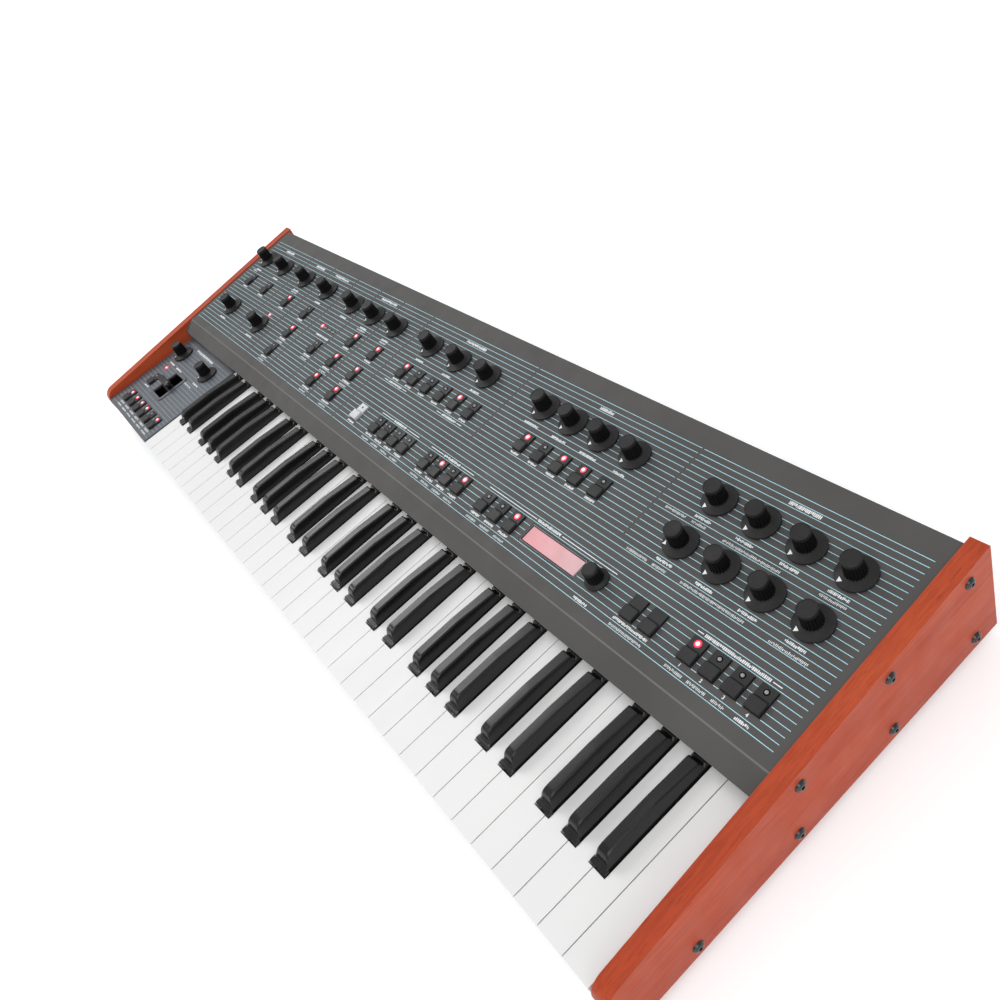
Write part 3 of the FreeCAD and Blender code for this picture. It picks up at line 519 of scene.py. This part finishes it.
# ---------------------------------------------------------------- knobs

def skirt_height(radius, outline):
    """The height of a knob's skirt at one radius, from its outline."""
    for (r0, z0), (r1, z1) in zip(outline, outline[1:]):
        if r1 <= radius <= r0 and r0 > r1:
            return z0 + (z1 - z0) * (r0 - radius) / (r0 - r1)
    return outline[-1][1]


RIB_STEPS = 8


def add_knob(body, surface, skirt, grip, ribs, pointer=None, turned=0):
    """A fluted grip on a flared skirt.

    The skirt is (radius, height) pairs and the grip (radius, height, depth of the flutes). The pointer is its
    tip's and root's radius and half its width.
    """
    x, y = spot_of(body, surface)
    shape = Shape()
    count = ribs * RIB_STEPS
    rows = []
    for radius, height, depth in [(r, z, 0) for r, z in skirt] + grip:
        ring = []
        for step in range(count):
            turn = math.tau * step / count
            wave = abs(math.sin(math.pi * step / RIB_STEPS)) ** 0.6
            reach = radius - depth * (1 - wave)
            ring.append((x + reach * math.sin(turn), y + reach * math.cos(turn), height))
        rows.append(list(reversed(ring)))
    shape.loft(rows)
    # The fluted rows take the darker grip material: painted shade for the flutes.
    ribbed = [len(skirt) + row for row, (radius, height, depth) in enumerate(grip) if depth > 0.3]
    shape.slots[ribbed[0] * count:(ribbed[-1] + 1) * count] = [2] * (len(ribbed) * count)
    if pointer:
        tip, root, half = pointer
        columns = []
        for step in range(6):
            radius = root + (tip - root) * step / 5
            width = max(half * (tip - radius) / (tip - root), 0.02)
            top = skirt_height(radius, skirt)
            loop = [(-width, radius, top - 0.25), (width, radius, top - 0.25),
                    (width, radius, top + 0.06), (-width, radius, top + 0.06)]
            columns.append([(x + across * math.cos(turned) + out * math.sin(turned),
                             y + out * math.cos(turned) - across * math.sin(turned), z)
                            for across, out, z in loop])
        shape.loft(list(reversed(columns)), 1)
    piece = shape.build("grip_" + body, [KNOB, INK, SHADED_RIBS], body, surface, "knob_plastic")
    turn_outward(piece.data)
    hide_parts(body)


SKIRT = [(12.5, 0.8), (13.4, 0.8), (13.6, 1.0), (13.6, 2.1), (13.45, 2.35), (12.9, 2.5), (11, 2.9),
         (9.2, 3.6), (7.8, 4.1)]
GRIP = [(7.45, 4.15, 0), (7.45, 4.5, 0.85), (7.2, 8, 0.85), (6.95, 12, 0.85), (6.75, 15.6, 0.85),
        (6.72, 16.0, 0.3), (6.5, 16.1, 0), (6.5, 16.35, 0), (6.8, 16.5, 0), (6.85, 18.4, 0), (6.75, 18.8, 0),
        (6.5, 19.0, 0), (6.3, 19.1, 0), (6.1, 19.1, 0), (6.0, 18.9, 0), (5.9, 18.9, 0), (2.5, 18.9, 0)]
POINTER = (13.1, 9.9, 1.95)
SMALL_SKIRT = [(8.8, 0.8), (9.4, 0.8), (9.6, 1.0), (9.6, 1.7), (9.4, 2.0), (8.6, 2.3), (7.6, 3.0),
               (6.95, 3.5)]
SMALL_GRIP = [(6.7, 3.55, 0), (6.7, 3.9, 0.6), (6.45, 8.0, 0.6), (6.25, 12.3, 0.6), (6.2, 12.7, 0.2),
              (6.2, 12.8, 0), (6.3, 13.0, 0), (6.3, 14.1, 0), (6.1, 14.8, 0), (5.8, 15.2, 0), (5.6, 15.1, 0),
              (5.3, 15.4, 0), (4.9, 15.45, 0), (2.2, 15.45, 0)]
# The pointers' turns from straight back. One knob in the photo stands further round than the others.
REST_TURN, ODD_TURN = math.radians(209), math.radians(234)
for node in sorted(name for name in nodes if name.startswith("knob_") or name == "encoder_knob"):
    if node == "encoder_knob":
        add_knob(node, PANEL, SMALL_SKIRT, SMALL_GRIP, ribs=16)
    else:
        add_knob(node, BLOCK if "block" in node else PANEL, SKIRT, GRIP, 20, POINTER,
                 ODD_TURN if node == "knob_loudness_attack" else REST_TURN)


# ---------------------------------------------------------------- buttons and lamps

HALF_LENGTH, HALF_WIDTH = 9.35, 6.25
BACK_MIDDLE, BACK_LENGTH, FRONT_MIDDLE, FRONT_LENGTH = 5.025, 8.75, -4.675, 9.35
LAMP_BACK = 5.4
LAMP_RING = [(1.4, 1.2), (2.25, 1.2), (2.25, 1.7), (2.15, 1.74), (1.5, 1.74), (1.4, 1.7)]
DARK_CAP, HOLE, LIGHT_CAP, RING = range(4)


def add_button(shape, x, y, lamp, slot):
    """A cap in two parts with a groove between them, and the ring of its lamp."""
    width = 2 * HALF_WIDTH
    shape.cushion(x, y, width, 2 * HALF_LENGTH, -3.4, 1.0, 0.5, 0.2, slot)
    shape.cushion(x, y + BACK_MIDDLE, width, BACK_LENGTH, 0.5, 1.65, 0.5, 0.3, slot)
    shape.cushion(x, y + FRONT_MIDDLE, width, FRONT_LENGTH, 0.5, 3.45, 0.7, 0.75, slot, lean=0.012)
    if lamp:
        # The lamp's near-black ring: partly its bezel, partly painted shade in the gap round the lens.
        shape.turned(LAMP_RING, x, y + LAMP_BACK, 24, RING, True)


BUTTON_SETS = {"buttons_back_row": PANEL, "buttons_front_rows": PANEL, "value_buttons": PANEL,
               "preset_buttons": PANEL, "performance_buttons": BLOCK}
button_places = {name: middles(name, surface) for name, surface in BUTTON_SETS.items()}
GREY_BUTTON = min(button_places["buttons_front_rows"], key=lambda place: abs(place[0] + 50))
for name, surface in BUTTON_SETS.items():
    shape = Shape()
    for place in button_places[name]:
        if place == GREY_BUTTON:
            add_button(shape, *place, False, LIGHT_CAP)
            # A black disc in the empty lamp hole: painted shade standing for the inside of the hole.
            shape.turned([(1.3, 1.2), (1.3, 1.72), (0.9, 1.75)], place[0], place[1] + LAMP_BACK, 20, HOLE)
        else:
            add_button(shape, *place, name != "value_buttons", DARK_CAP)
    piece = shape.build("caps_" + name, [BUTTON, GLOSS, GREY_CAP, BEZEL_AND_HOLE_SHADE], name, surface, "button_plastic")
    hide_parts(name)

# Lit lamps: by their column in the back row, by their buttons' places, and those that stand alone.
LIT_COLUMNS, LIT_PRESET = (-347, -163, -111, -48, 52.8, 161, 211, 236), 417.6
BACK_LAMPS = 94.9
LIT_FRONT = ((-282, 58.7), (-161, 58.7), (-111, 58.7), (-161, 28.4), (-111, 28.4), (104, 28.4), (142, 28.4),
             (219, 28.4))
# On the block the first row's lamps are lit except the fifth, and so is the lamp that stands alone.
BLOCK_UNLIT = ((-387.4, 28.7), (-470, 65.4))
LIT_ALONE = ((-351.7, 62.3), (-236, 85.5))
ALONE = LIT_ALONE + ((-226, 85.5), (-216, 85.5), (-206, 85.5))


def near(place, targets, reach=4):
    return any(math.dist(place, target) < reach for target in targets)


def lamp_is_lit(x, y, surface):
    if surface is BLOCK:
        return not near((x, y), BLOCK_UNLIT, 6)
    back = any(abs(x - column) < 3 for column in LIT_COLUMNS) and abs(y - BACK_LAMPS) < 4
    return (back or abs(x - LIT_PRESET) < 3 or near((x, y - LAMP_BACK), LIT_FRONT)
            or near((x, y), LIT_ALONE))


HALO, LENS, LAMP_TOP, BLOCK_DEPTH = 2.75, 1.35, 1.9, 140
LENS_ON_BUTTON, LENS_ON_PANEL = 1.75, 0.3


def add_lens(shape, x, y, lit, base):
    """A domed lens; a lit one also gets a thin glowing red collar round it, a painted glow standing for the lamp's
    light spilling onto its surround.
    """
    reach = LENS + 0.25 * lit
    dome = [(reach * math.cos(turn), base + 0.25 + 0.75 * math.sin(turn))
            for turn in [math.radians(degrees) for degrees in (0, 20, 40, 60, 78)]]
    shape.turned([(reach, base - 0.3)] + dome, x, y, 20)
    if lit:
        # The collar is painted glow for the light round the lamp.
        shape.turned([(reach, base - 0.3), (HALO, base - 0.3), (HALO, base), (HALO - 0.2, base + 0.06),
                      (reach, base + 0.08)], x, y, 20, 1, True)


# A lamp belongs to the surface that its top stands off by LAMP_TOP.
lamp_spots = []
for surface, furthest in ((PANEL, math.inf), (BLOCK, BLOCK_DEPTH)):
    for low, high in islands("indicator_leds", surface):
        x, y = (low[0] + high[0]) / 2, (low[1] + high[1]) / 2
        if abs(high[2] - LAMP_TOP) < 0.3 and y < furthest:
            lamp_spots.append((x, y, surface))

for name, lit, lenses in (("lamp_lenses_lit", True, [LENS_ON, LAMP_GLOW_HALO]),
                          ("lamp_lenses_unlit", False, [LENS_OFF])):
    # The light-coloured button has no lens; a black disc, painted shade for the inside of the hole, fills its hole
    # instead.
    chosen = [spot for spot in lamp_spots if lamp_is_lit(*spot) == lit
              and not (spot[2] is PANEL and abs(spot[0] - GREY_BUTTON[0]) < 1 and spot[1] < 40)]
    shape = Shape()
    for x, y, surface in chosen:
        part = Shape()
        stands_alone = near((x, y), ALONE) or surface is BLOCK and y > 70
        add_lens(part, x, y, lit, LENS_ON_PANEL if stands_alone else LENS_ON_BUTTON)
        for face, slot in zip(part.faces, part.slots):
            shape.add([(surface @ (Vector(part.points[index]) * MM)) / MM for index in face],
                      [list(range(len(face)))], slot)
    piece = shape.build(name, lenses, BASE, LEVEL, "led")
    if lit:
        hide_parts("indicator_leds")

# Near-black rings round the lamps that stand alone on the panels: partly their bezels, partly painted shade in the
# gaps round the lenses.
shape = Shape()
for x, y, surface in lamp_spots:
    if surface is PANEL and near((x, y), ALONE):
        shape.turned([(1.7, -0.5), (2.1, -0.5), (2.1, 0.25), (1.95, 0.35), (1.7, 0.35)], x, y, 20, 0, True)
shape.build("lamp_rings", [BEZEL_AND_HOLE_SHADE], BASE, PANEL, "socket_plastic")


# ---------------------------------------------------------------- display

glass_low, glass_high = max(islands("display_module", PANEL), key=lambda found: found[1][2])
x0, y0, x1, y1, top = glass_low[0], glass_low[1], glass_high[0], glass_high[1], glass_high[2]
across, along, width, length = (x0 + x1) / 2, (y0 + y1) / 2, x1 - x0, y1 - y0
EDGE = 1.9
shape = Shape()
shape.cushion(across, along, width - 2 * EDGE, length - 2 * EDGE, top - 0.1, top + 0.25, 0.4, 0.1)
shape.build("display_window", [GLOW], BASE, PANEL, "display")
shape = Shape()
shape.loft([[(x, y, top + height)
             for x, y in rounded(across, along, width - 2 * inset, length - 2 * inset, 0.5)]
            for inset, height in ((0, -0.1), (0, 0.7), (0.3, 0.85), (EDGE - 0.4, 0.75), (EDGE, 0.45),
                                  (EDGE, -0.1))], 0, True)
shape.build("display_mask", [GLOSS], BASE, PANEL, "display")


# ---------------------------------------------------------------- stripes

STRIPE_WIDTH, SHORTEST_STRIPE = 0.46, 0.8
STRIPE_FIRST, STRIPE_PITCH, STRIPE_COUNT = 8.36, 5.127, 30
STRIPE_LEFT, STRIPE_RIGHT = -500, 499.5
BLOCK_STRIPE_FIRST, BLOCK_STRIPE_PITCH, BLOCK_STRIPE_COUNT, BLOCK_STRIPE_INSET = 5.5, 5.1, 25, 2.5
# Gaps between the sections: middle, half width, and how far back they start.
DIVIDERS = ((-387.5, 1.5, 0), (-322.5, 1.5, 0), (-258, 1.5, 0), (-200, 1.5, 0), (-146, 1.5, 0),
            (-81.8, 1.4, 0), (104.6, 1.1, 66), (309.5, 1.1, 66))
INK_BOTTOM, INK_TOP = -0.02, 0.06
# What stripes keep clear of: round the buttons, the knobs' middles and the lamps.
BUTTON_SIDE, BUTTON_END, KNOB_CLEAR, LAMP_CLEAR = HALF_WIDTH + 1.0, HALF_LENGTH + 0.6, 4.4, 2.6


def add_line(shape, left, right, y, width=0.7):
    """A printed line."""
    shape.box(left, right, y - width / 2, y + width / 2, INK_BOTTOM, INK_TOP)


def add_stripe(shape, left, right, y, blocked):
    """One stripe, broken wherever something stands in its way."""
    cuts = sorted((low, high) for low, high in blocked if high > left and low < right)
    start = left
    for low, high in cuts + [(right, right)]:
        if low - start > SHORTEST_STRIPE:
            add_line(shape, start, min(low, right), y, STRIPE_WIDTH)
        start = max(start, high)


def blocks_at(y, rectangles, discs):
    """The spans of x that are taken at one distance back."""
    spans = [(x0, x1) for x0, y0, x1, y1 in rectangles if y0 < y < y1]
    for x, middle, radius in discs:
        if abs(y - middle) < radius:
            half = math.sqrt(radius ** 2 - (y - middle) ** 2)
            spans.append((x - half, x + half))
    return spans


def obstacles(surface):
    """The rectangles and discs that the stripes of one surface keep clear of."""
    rectangles = [(x - BUTTON_SIDE, y - BUTTON_END, x + BUTTON_SIDE, y + BUTTON_END)
                  for name, place in BUTTON_SETS.items() if place is surface for x, y in button_places[name]]
    discs = [(*spot_of(name, surface), KNOB_CLEAR) for name in nodes
             if name.startswith("knob_") and ("block" in name) == (surface is BLOCK)]
    discs += [(x, y, LAMP_CLEAR) for x, y, place in lamp_spots if place is surface]
    return rectangles, discs


panel_rectangles, panel_discs = obstacles(PANEL)
panel_rectangles.append((x0 - 1.2, y0 - 0.8, x1 + 1.2, y1 + 0.8))
panel_discs.append((*spot_of("encoder_knob", PANEL), KNOB_CLEAR))
shape = Shape()
for index in range(STRIPE_COUNT):
    y = STRIPE_FIRST + index * STRIPE_PITCH
    spans = blocks_at(y, panel_rectangles, panel_discs)
    spans += [(middle - half, middle + half) for middle, half, start in DIVIDERS if y > start]
    add_stripe(shape, STRIPE_LEFT, STRIPE_RIGHT, y, spans)
shape.build("panel_stripes", [STRIPE], BASE, PANEL, "panel_paint")

block_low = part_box("performance_panel")[0].x / MM
block_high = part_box("performance_panel")[1].x / MM
# The lever's slot: left, front, right and back, and the width of the rim round it.
SLOT = (-441.5, 48.75, -411.5, 85.25)
RIM = 4
block_rectangles, block_discs = obstacles(BLOCK)
clear = RIM + 0.6
block_rectangles.append((SLOT[0] - clear, SLOT[1] - clear, SLOT[2] + clear, SLOT[3] + clear))
shape = Shape()
for index in range(BLOCK_STRIPE_COUNT):
    y = BLOCK_STRIPE_FIRST + index * BLOCK_STRIPE_PITCH
    add_stripe(shape, block_low + BLOCK_STRIPE_INSET, block_high - BLOCK_STRIPE_INSET, y,
               blocks_at(y, block_rectangles, block_discs))
shape.build("block_stripes", [SHEENED_STRIPE], BASE, BLOCK, "block_paint")


# ---------------------------------------------------------------- legends: marks that stand for words

draw = random.Random(61)


def add_word(shape, middle, y, width, height=2.2, thin=False):
    """A run of short upright marks with the size and weight of a printed word, but no letters."""
    left, right = middle - width / 2, middle + width / 2
    at = left
    while at < right - 0.3:
        mark = draw.uniform(0.35, 0.6) if thin else draw.uniform(0.55, 1.25)
        mark = min(mark, right - at)
        low = draw.choice((0, 0, 0, 0.25)) * height
        high = draw.choice((1, 1, 1, 0.75)) * height
        shape.box(at, at + mark, y - height / 2 + low, y - height / 2 + high, INK_BOTTOM, INK_TOP)
        at += mark + (draw.uniform(0.45, 0.7) if thin else draw.uniform(0.32, 0.45))


# How far in front of its knob or button a label lies.
KNOB_LABEL, STAGE_LABEL, BACK_LABEL, FRONT_LABEL = 19, 17.9, 12.2, 12.6
LEFT_SECOND, FRONT_SECOND = 17.6, 17.8
TITLE_ROW, BRACKET_ROW, HEADER_ROW = 149.5, 72.3, 41.5
shape = Shape()
LABEL_WIDTHS = {"knob_filter_frequency": 19, "knob_filter_resonance": 18, "knob_filter_modulation": 20,
                "knob_filter_track": 13}
for name in sorted(nodes):
    if not name.startswith("knob_") or "block" in name:
        continue
    x, y = spot_of(name, PANEL)
    is_stage = x > 300
    add_word(shape, x, y - (STAGE_LABEL if is_stage else KNOB_LABEL),
             LABEL_WIDTHS.get(name, 15.5 if is_stage else 17 if "tune" in name else 14))
# Thinner labels, as (middle, distance back, width).
SECOND_LABELS = ((-484, 103.5, 12), (-353.5, 103.5, 16), (-167.5, 103.5, 18), (-116.5, 103.5, 14),
                 (331, 103.5, 20.8), (353.5, 103.5, 13), (402, 102.6, 49.5), (467, 103.5, 20),
                 (331, 61.7, 20.8), (353.5, 61.7, 13), (403, 62, 56.8), (467, 61.4, 30))
for x, y, width in SECOND_LABELS:
    add_word(shape, x, y, width, 2.0, True)
# The sections' names along the back, as (middle, width).
TITLES = ((410, 27), (207, 16.9), (9.7, 33.8), (-170, 34), (-290.5, 36), (-352, 22.8), (-448, 24))
for x, width in TITLES:
    add_word(shape, x, TITLE_ROW, width, 2.9)
# Names between two lines, as the lines' outer ends and the word's ends.
HEADERS = ((410, 479, 416.5, 470.5), (169.3, 330.9, 236.7, 265.9), (73.8, 144.4, 96, 122), (-21, 50.6, 3, 27))
for left, right, word_left, word_right in HEADERS:
    add_line(shape, left, word_left - 1.4, HEADER_ROW)
    add_line(shape, word_right + 1.4, right, HEADER_ROW)
    add_word(shape, (word_left + word_right) / 2, HEADER_ROW, word_right - word_left, 2.3)
for left, right in ((-63.3, -18.7), (40, 83)):
    add_line(shape, left, left + 8, BRACKET_ROW)
    add_line(shape, right - 8, right, BRACKET_ROW)
    add_word(shape, (left + right) / 2, BRACKET_ROW, right - left - 19)
for x, y in button_places["buttons_back_row"]:
    add_word(shape, x, y - BACK_LABEL, 11 if x > -100 else 13, 2.1)
for x, y in button_places["buttons_front_rows"]:
    add_word(shape, x, y - FRONT_LABEL, 12 if x > -60 else 16, 2.1)
    if x < -60:
        add_word(shape, x, y - LEFT_SECOND, 15, 1.9, True)
    elif abs(x - GREY_BUTTON[0]) > 1:
        add_word(shape, x, y - FRONT_SECOND, 13, 1.9, True)
for x, y, width, thin in ((416, 10.7, 15.3, True), (436, 10.7, 15.6, True), (454.5, 10.7, 11, True),
                          (473.5, 10.7, 11, False), (322.4, 10.3, 14.8, False), (369.6, 15.8, 33.6, False),
                          (369.8, 10.4, 31.7, True), (-218, 73.7, 31, False)):
    add_word(shape, x, y, width, 2.1, thin)
shape.build("panel_legends", [INK], BASE, PANEL, "panel_paint")


def add_numerals(name, places, size, surface):
    """Plain numerals, each centred on its place."""
    for text, (x, y) in places:
        curve = bpy.data.curves.new(name, "FONT")
        curve.body = text
        curve.size = size * MM
        curve.align_x = "CENTER"
        curve.align_y = "CENTER"
        curve.extrude = 0.04 * MM
        curve.offset = 0.09 * MM
        maker = bpy.data.objects.new(name, curve)
        bpy.context.scene.collection.objects.link(maker)
        bpy.context.view_layer.update()
        mesh = bpy.data.meshes.new_from_object(maker.evaluated_get(bpy.context.evaluated_depsgraph_get()))
        bpy.data.objects.remove(maker)
        mesh.transform(surface @ Matrix.Translation((x * MM, y * MM, 0.03 * MM)))
        mesh.materials.clear()
        mesh.materials.append(INK)
        piece = bpy.data.objects.new(f"{name}_{text}", mesh)
        bpy.context.scene.collection.objects.link(piece)
        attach(piece, BASE)


add_numerals("preset_numeral", [(str(number), (x - 1.0, 16.2)) for number, (x, y) in
                                enumerate(button_places["preset_buttons"], start=1)], 3.51, PANEL)

shape = Shape()
for x, y in button_places["performance_buttons"]:
    if y < 40:
        add_word(shape, x, 10.7, 14, 2.6)
        add_word(shape, x, 5.9, 15, 2.2)
for name in ("knob_block_left", "knob_block_right"):
    x, y = spot_of(name, BLOCK)
    add_word(shape, x, y - KNOB_LABEL, 17, 2.6)
for x, y, width, height, thin in ((-447, 90.6, 20, 2.3, False), (-470, 47.4, 15, 2.6, False),
                                  (-395, 84, 24, 2.1, True), (-430, 126, 60, 3.4, False)):
    add_word(shape, x, y, width, height, thin)
shape.build("block_legends", [INK], BASE, BLOCK, "block_paint")


# ---------------------------------------------------------------- lever and its slot

shape = Shape()
rows = []
for outset, height in ((0, -1.0), (0, 1.3), (0.3, 1.6), (RIM - 0.8, 1.6), (RIM - 0.15, 1.3), (RIM, 0.7),
                       (RIM, -0.05)):
    rows.append([(x, y, height) for x, y in rounded((SLOT[0] + SLOT[2]) / 2, (SLOT[1] + SLOT[3]) / 2,
                                                    SLOT[2] - SLOT[0] + 2 * outset,
                                                    SLOT[3] - SLOT[1] + 2 * outset, 0.8 + outset)])
shape.loft(rows, 0, True)
turn_outward(shape.build("slot_rim", [BLOCK_PAINT], BASE, BLOCK, "lever_plastic").data)

lever_x = (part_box("bender_lever")[0].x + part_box("bender_lever")[1].x) / 2 / MM
lever_y = spot_of("bender_lever", BLOCK)[1]
HANDLE_HALF, HANDLE_HEIGHT, HANDLE_STEPS, PIN_HEIGHT = 17.6, 9.2, 24, -24


def loop_along_x(x, middle, deep, high, count):
    """An upright oval across the block, about the lever's middle."""
    return [(lever_x + x, lever_y + deep * math.cos(math.tau * turn / count),
             middle + high * math.sin(math.tau * turn / count)) for turn in range(count)]


# The handle swells a little towards its rounded ends.
shape = Shape()
rows = []
for step in range(HANDLE_STEPS + 1):
    along = -1 + 2 * step / HANDLE_STEPS
    swell = math.sqrt(max(0.0, 1 - abs(along) ** 10))
    high = 3.9 * (0.78 + 0.22 * along ** 2) * swell + 0.02
    deep = 5.0 * (0.82 + 0.18 * along ** 2) * swell + 0.02
    rows.append(loop_along_x(HANDLE_HALF * along, HANDLE_HEIGHT, deep, high, 24))
shape.loft(rows)
shape.cushion(lever_x, lever_y, 8, 5.4, -20, 7.2, 1.2, 0.6)
shape.loft([loop_along_x(x, PIN_HEIGHT, radius, radius, 32)
            for x, radius in ((-4, 2.2), (-4, 4.7), (-3.7, 5), (3.7, 5), (4, 4.7), (4, 2.2))], 0, True)
piece = shape.build("lever_grip", [GLOSS], "bender_lever", BLOCK, "lever_plastic")
turn_outward(piece.data)
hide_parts("bender_lever")


# ---------------------------------------------------------------- screws

HEAD = ((4.2, -0.1), (4.2, 0.25), (4.0, 0.75), (3.4, 1.45), (2.6, 2.0), (1.9, 2.28))
HEAD_HEIGHT, SOCKET_HALF, SOCKET_LEVELS = 2.4, 1.25, (2.2, 0.7)


def screw_head(shape, matrix, count=36):
    """A dome head with a hexagonal socket, its axis along the matrix's z."""
    turns = [math.tau * step / count for step in range(count)]
    rows = [[(radius * math.cos(turn), radius * math.sin(turn), height) for turn in turns]
            for radius, height in HEAD]
    hexagon = [(SOCKET_HALF / math.cos((turn + math.pi / 6) % (math.pi / 3) - math.pi / 6), turn)
               for turn in turns]
    rows += [[(reach * math.cos(turn), reach * math.sin(turn), height) for reach, turn in hexagon]
             for height in SOCKET_LEVELS]
    part = Shape().loft(rows)
    shape.add([matrix @ Vector(point) for point in part.points], part.faces)


shape = Shape()
for low, high in islands("cheek_screws", LEVEL):
    side = 1 if low[0] > 0 else -1
    seat = (high[0] if side > 0 else low[0]) - side * HEAD_HEIGHT
    place = Matrix.Translation((seat, (low[1] + high[1]) / 2, (low[2] + high[2]) / 2))
    screw_head(shape, place @ Matrix.Rotation(math.radians(90 * side), 4, "Y"))
piece = shape.build("screw_heads", [SCREW], BASE, LEVEL, "black_screw")
turn_outward(piece.data)
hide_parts("cheek_screws")


# ---------------------------------------------------------------- rear sockets

# On the rear wall x runs left, y up from the ground and z out of the wall.
REAR = Matrix(((-1, 0, 0, 0), (0, 0, 1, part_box("bottom_case")[1][1]), (0, 1, 0, 0), (0, 0, 0, 1)))
BUSHING, NUT, PIN_CIRCLE, PIN_HOLE = 4.45, 7.8, 4.3, 0.75
WASHER = [(BUSHING, 0.02), (NUT + 0.7, 0.02), (NUT + 0.7, 0.5), (BUSHING, 0.5)]
HEXAGON = [(BUSHING, 0.5), (NUT - 0.1, 0.5), (NUT, 0.7), (NUT, 2.1), (NUT - 0.15, 2.46), (BUSHING, 2.46)]
ROUND_SOCKET = 16.6     # a five-pin socket's width, which tells it from the other sockets
PIN_HOLE_SHADE, METAL = 0, 1
nuts, faces = Shape(), Shape()
for mount in frame["record"]["mounts"]:
    if mount["name"].endswith("_jack"):
        place = REAR.inverted() @ Vector(mount["pos_m"]) / MM
        nuts.turned(WASHER, place.x, place.y, 40, 0, True)
        nuts.turned(HEXAGON, place.x, place.y, 6, 0, True)
for low, high in islands("rear_sockets", REAR):
    if all(abs(high[axis] - low[axis] - ROUND_SOCKET) < 0.3 for axis in (0, 1)):
        x, y, top = (low[0] + high[0]) / 2, (low[1] + high[1]) / 2, high[2]
        faces.turned([(6.9, top - 0.2), (7.3, top - 0.2), (7.3, top + 0.1), (6.9, top + 0.1)], x, y, 40,
                     METAL, True)
        # Near-black discs over the pin holes and the key notch: painted shade standing for the inside of the
        # holes.
        for turn in [math.radians(degrees) for degrees in (0, 45, 90, 135, 180)]:
            faces.turned([(PIN_HOLE, top - 0.2), (PIN_HOLE, top + 0.04), (PIN_HOLE - 0.1, top + 0.06)],
                         x + PIN_CIRCLE * math.cos(turn), y - PIN_CIRCLE * math.sin(turn), 16, PIN_HOLE_SHADE)
        faces.box(x - 1, x + 1, y + 5.6, y + 7, top - 0.2, top + 0.06, PIN_HOLE_SHADE)
nuts.build("jack_nuts", [NICKEL], BASE, REAR, "pot_metal")
faces.build("socket_faces", [BEZEL_AND_HOLE_SHADE, NICKEL], BASE, REAR, "socket_plastic")


# ---------------------------------------------------------------- stage, light and camera

bpy.ops.mesh.primitive_plane_add(size=80, location=(0, 0, 0))
floor = bpy.context.object
floor.name = "floor"
paper = finish_of("floor_paper", (0.86, 0.86, 0.86), (0.90, 0.90, 0.90), patch=3, rough=(0.7, 0.8),
                  grain=300, bump=0.05, depth=0.0003)
# The paper lights itself more with distance, so that it stays as pale as the photo's background.
tree = paper.node_tree
principled = tree.nodes["Principled BSDF"]
principled.inputs["Emission Strength"].default_value = 1
where = tree.nodes.new("ShaderNodeTexCoord")
reach = tree.nodes.new("ShaderNodeVectorMath")
reach.operation = "LENGTH"
link(tree, where, "Object", reach, 0)
far = tree.nodes.new("ShaderNodeMapRange")
far.inputs["From Min"].default_value = 1.2
far.inputs["From Max"].default_value = 5.0
link(tree, reach, "Value", far, "Value")
glow = ramp(tree, far, [(0, (0.3, 0.3, 0.3)), (1, (0.95, 0.95, 0.95))])
link(tree, glow, "Color", principled, "Emission Color")
floor.data.materials.append(paper)

scene = bpy.context.scene
world = bpy.data.worlds.new("studio")
world.use_nodes = True
background = world.node_tree.nodes["Background"]
background.inputs["Color"].default_value = (0.98, 0.99, 1.0, 1)
background.inputs["Strength"].default_value = 0.5
scene.world = world
scene.view_settings.view_transform = "Standard"


def area_light(name, place, aim, size, power):
    """A rectangular light of one power in watts, aimed at a point."""
    data = bpy.data.lights.new(name, "AREA")
    data.shape = "RECTANGLE"
    data.size, data.size_y = size
    data.energy = power
    light = bpy.data.objects.new(name, data)
    scene.collection.objects.link(light)
    light.location = place
    light.rotation_euler = (Vector(aim) - Vector(place)).to_track_quat("-Z", "Y").to_euler()


area_light("key_light", (-1.7, 0.1, 1.8), (0, 0, 0.05), (1.1, 1.1), 17)
area_light("top_light", (0.3, 0.3, 2.2), (0, 0, 0), (2.2, 1.4), 6)
area_light("fill_light", (1.1, -1.0, 1.9), (0, 0, 0.05), (1.5, 1.2), 15)
area_light("front_light", (-2.0, -1.4, 1.25), (0, 0, 0.05), (0.8, 0.8), 8)
area_light("side_light", (2.2, -0.6, 0.9), (0.4, 0, 0.05), (1.2, 1.0), 8)

camera_data = bpy.data.cameras.new("camera")
camera = bpy.data.objects.new("camera", camera_data)
scene.collection.objects.link(camera)
camera.location = (0.74092, -0.13715, 0.56427)
camera.rotation_euler = tuple(math.radians(angle) for angle in (45.920, 22.447, 52.036))
camera_data.lens = 33.51
camera_data.sensor_width = 36
camera_data.shift_x = -0.01244
camera_data.shift_y = -0.01429
camera_data.clip_start = 0.01
scene.camera = camera
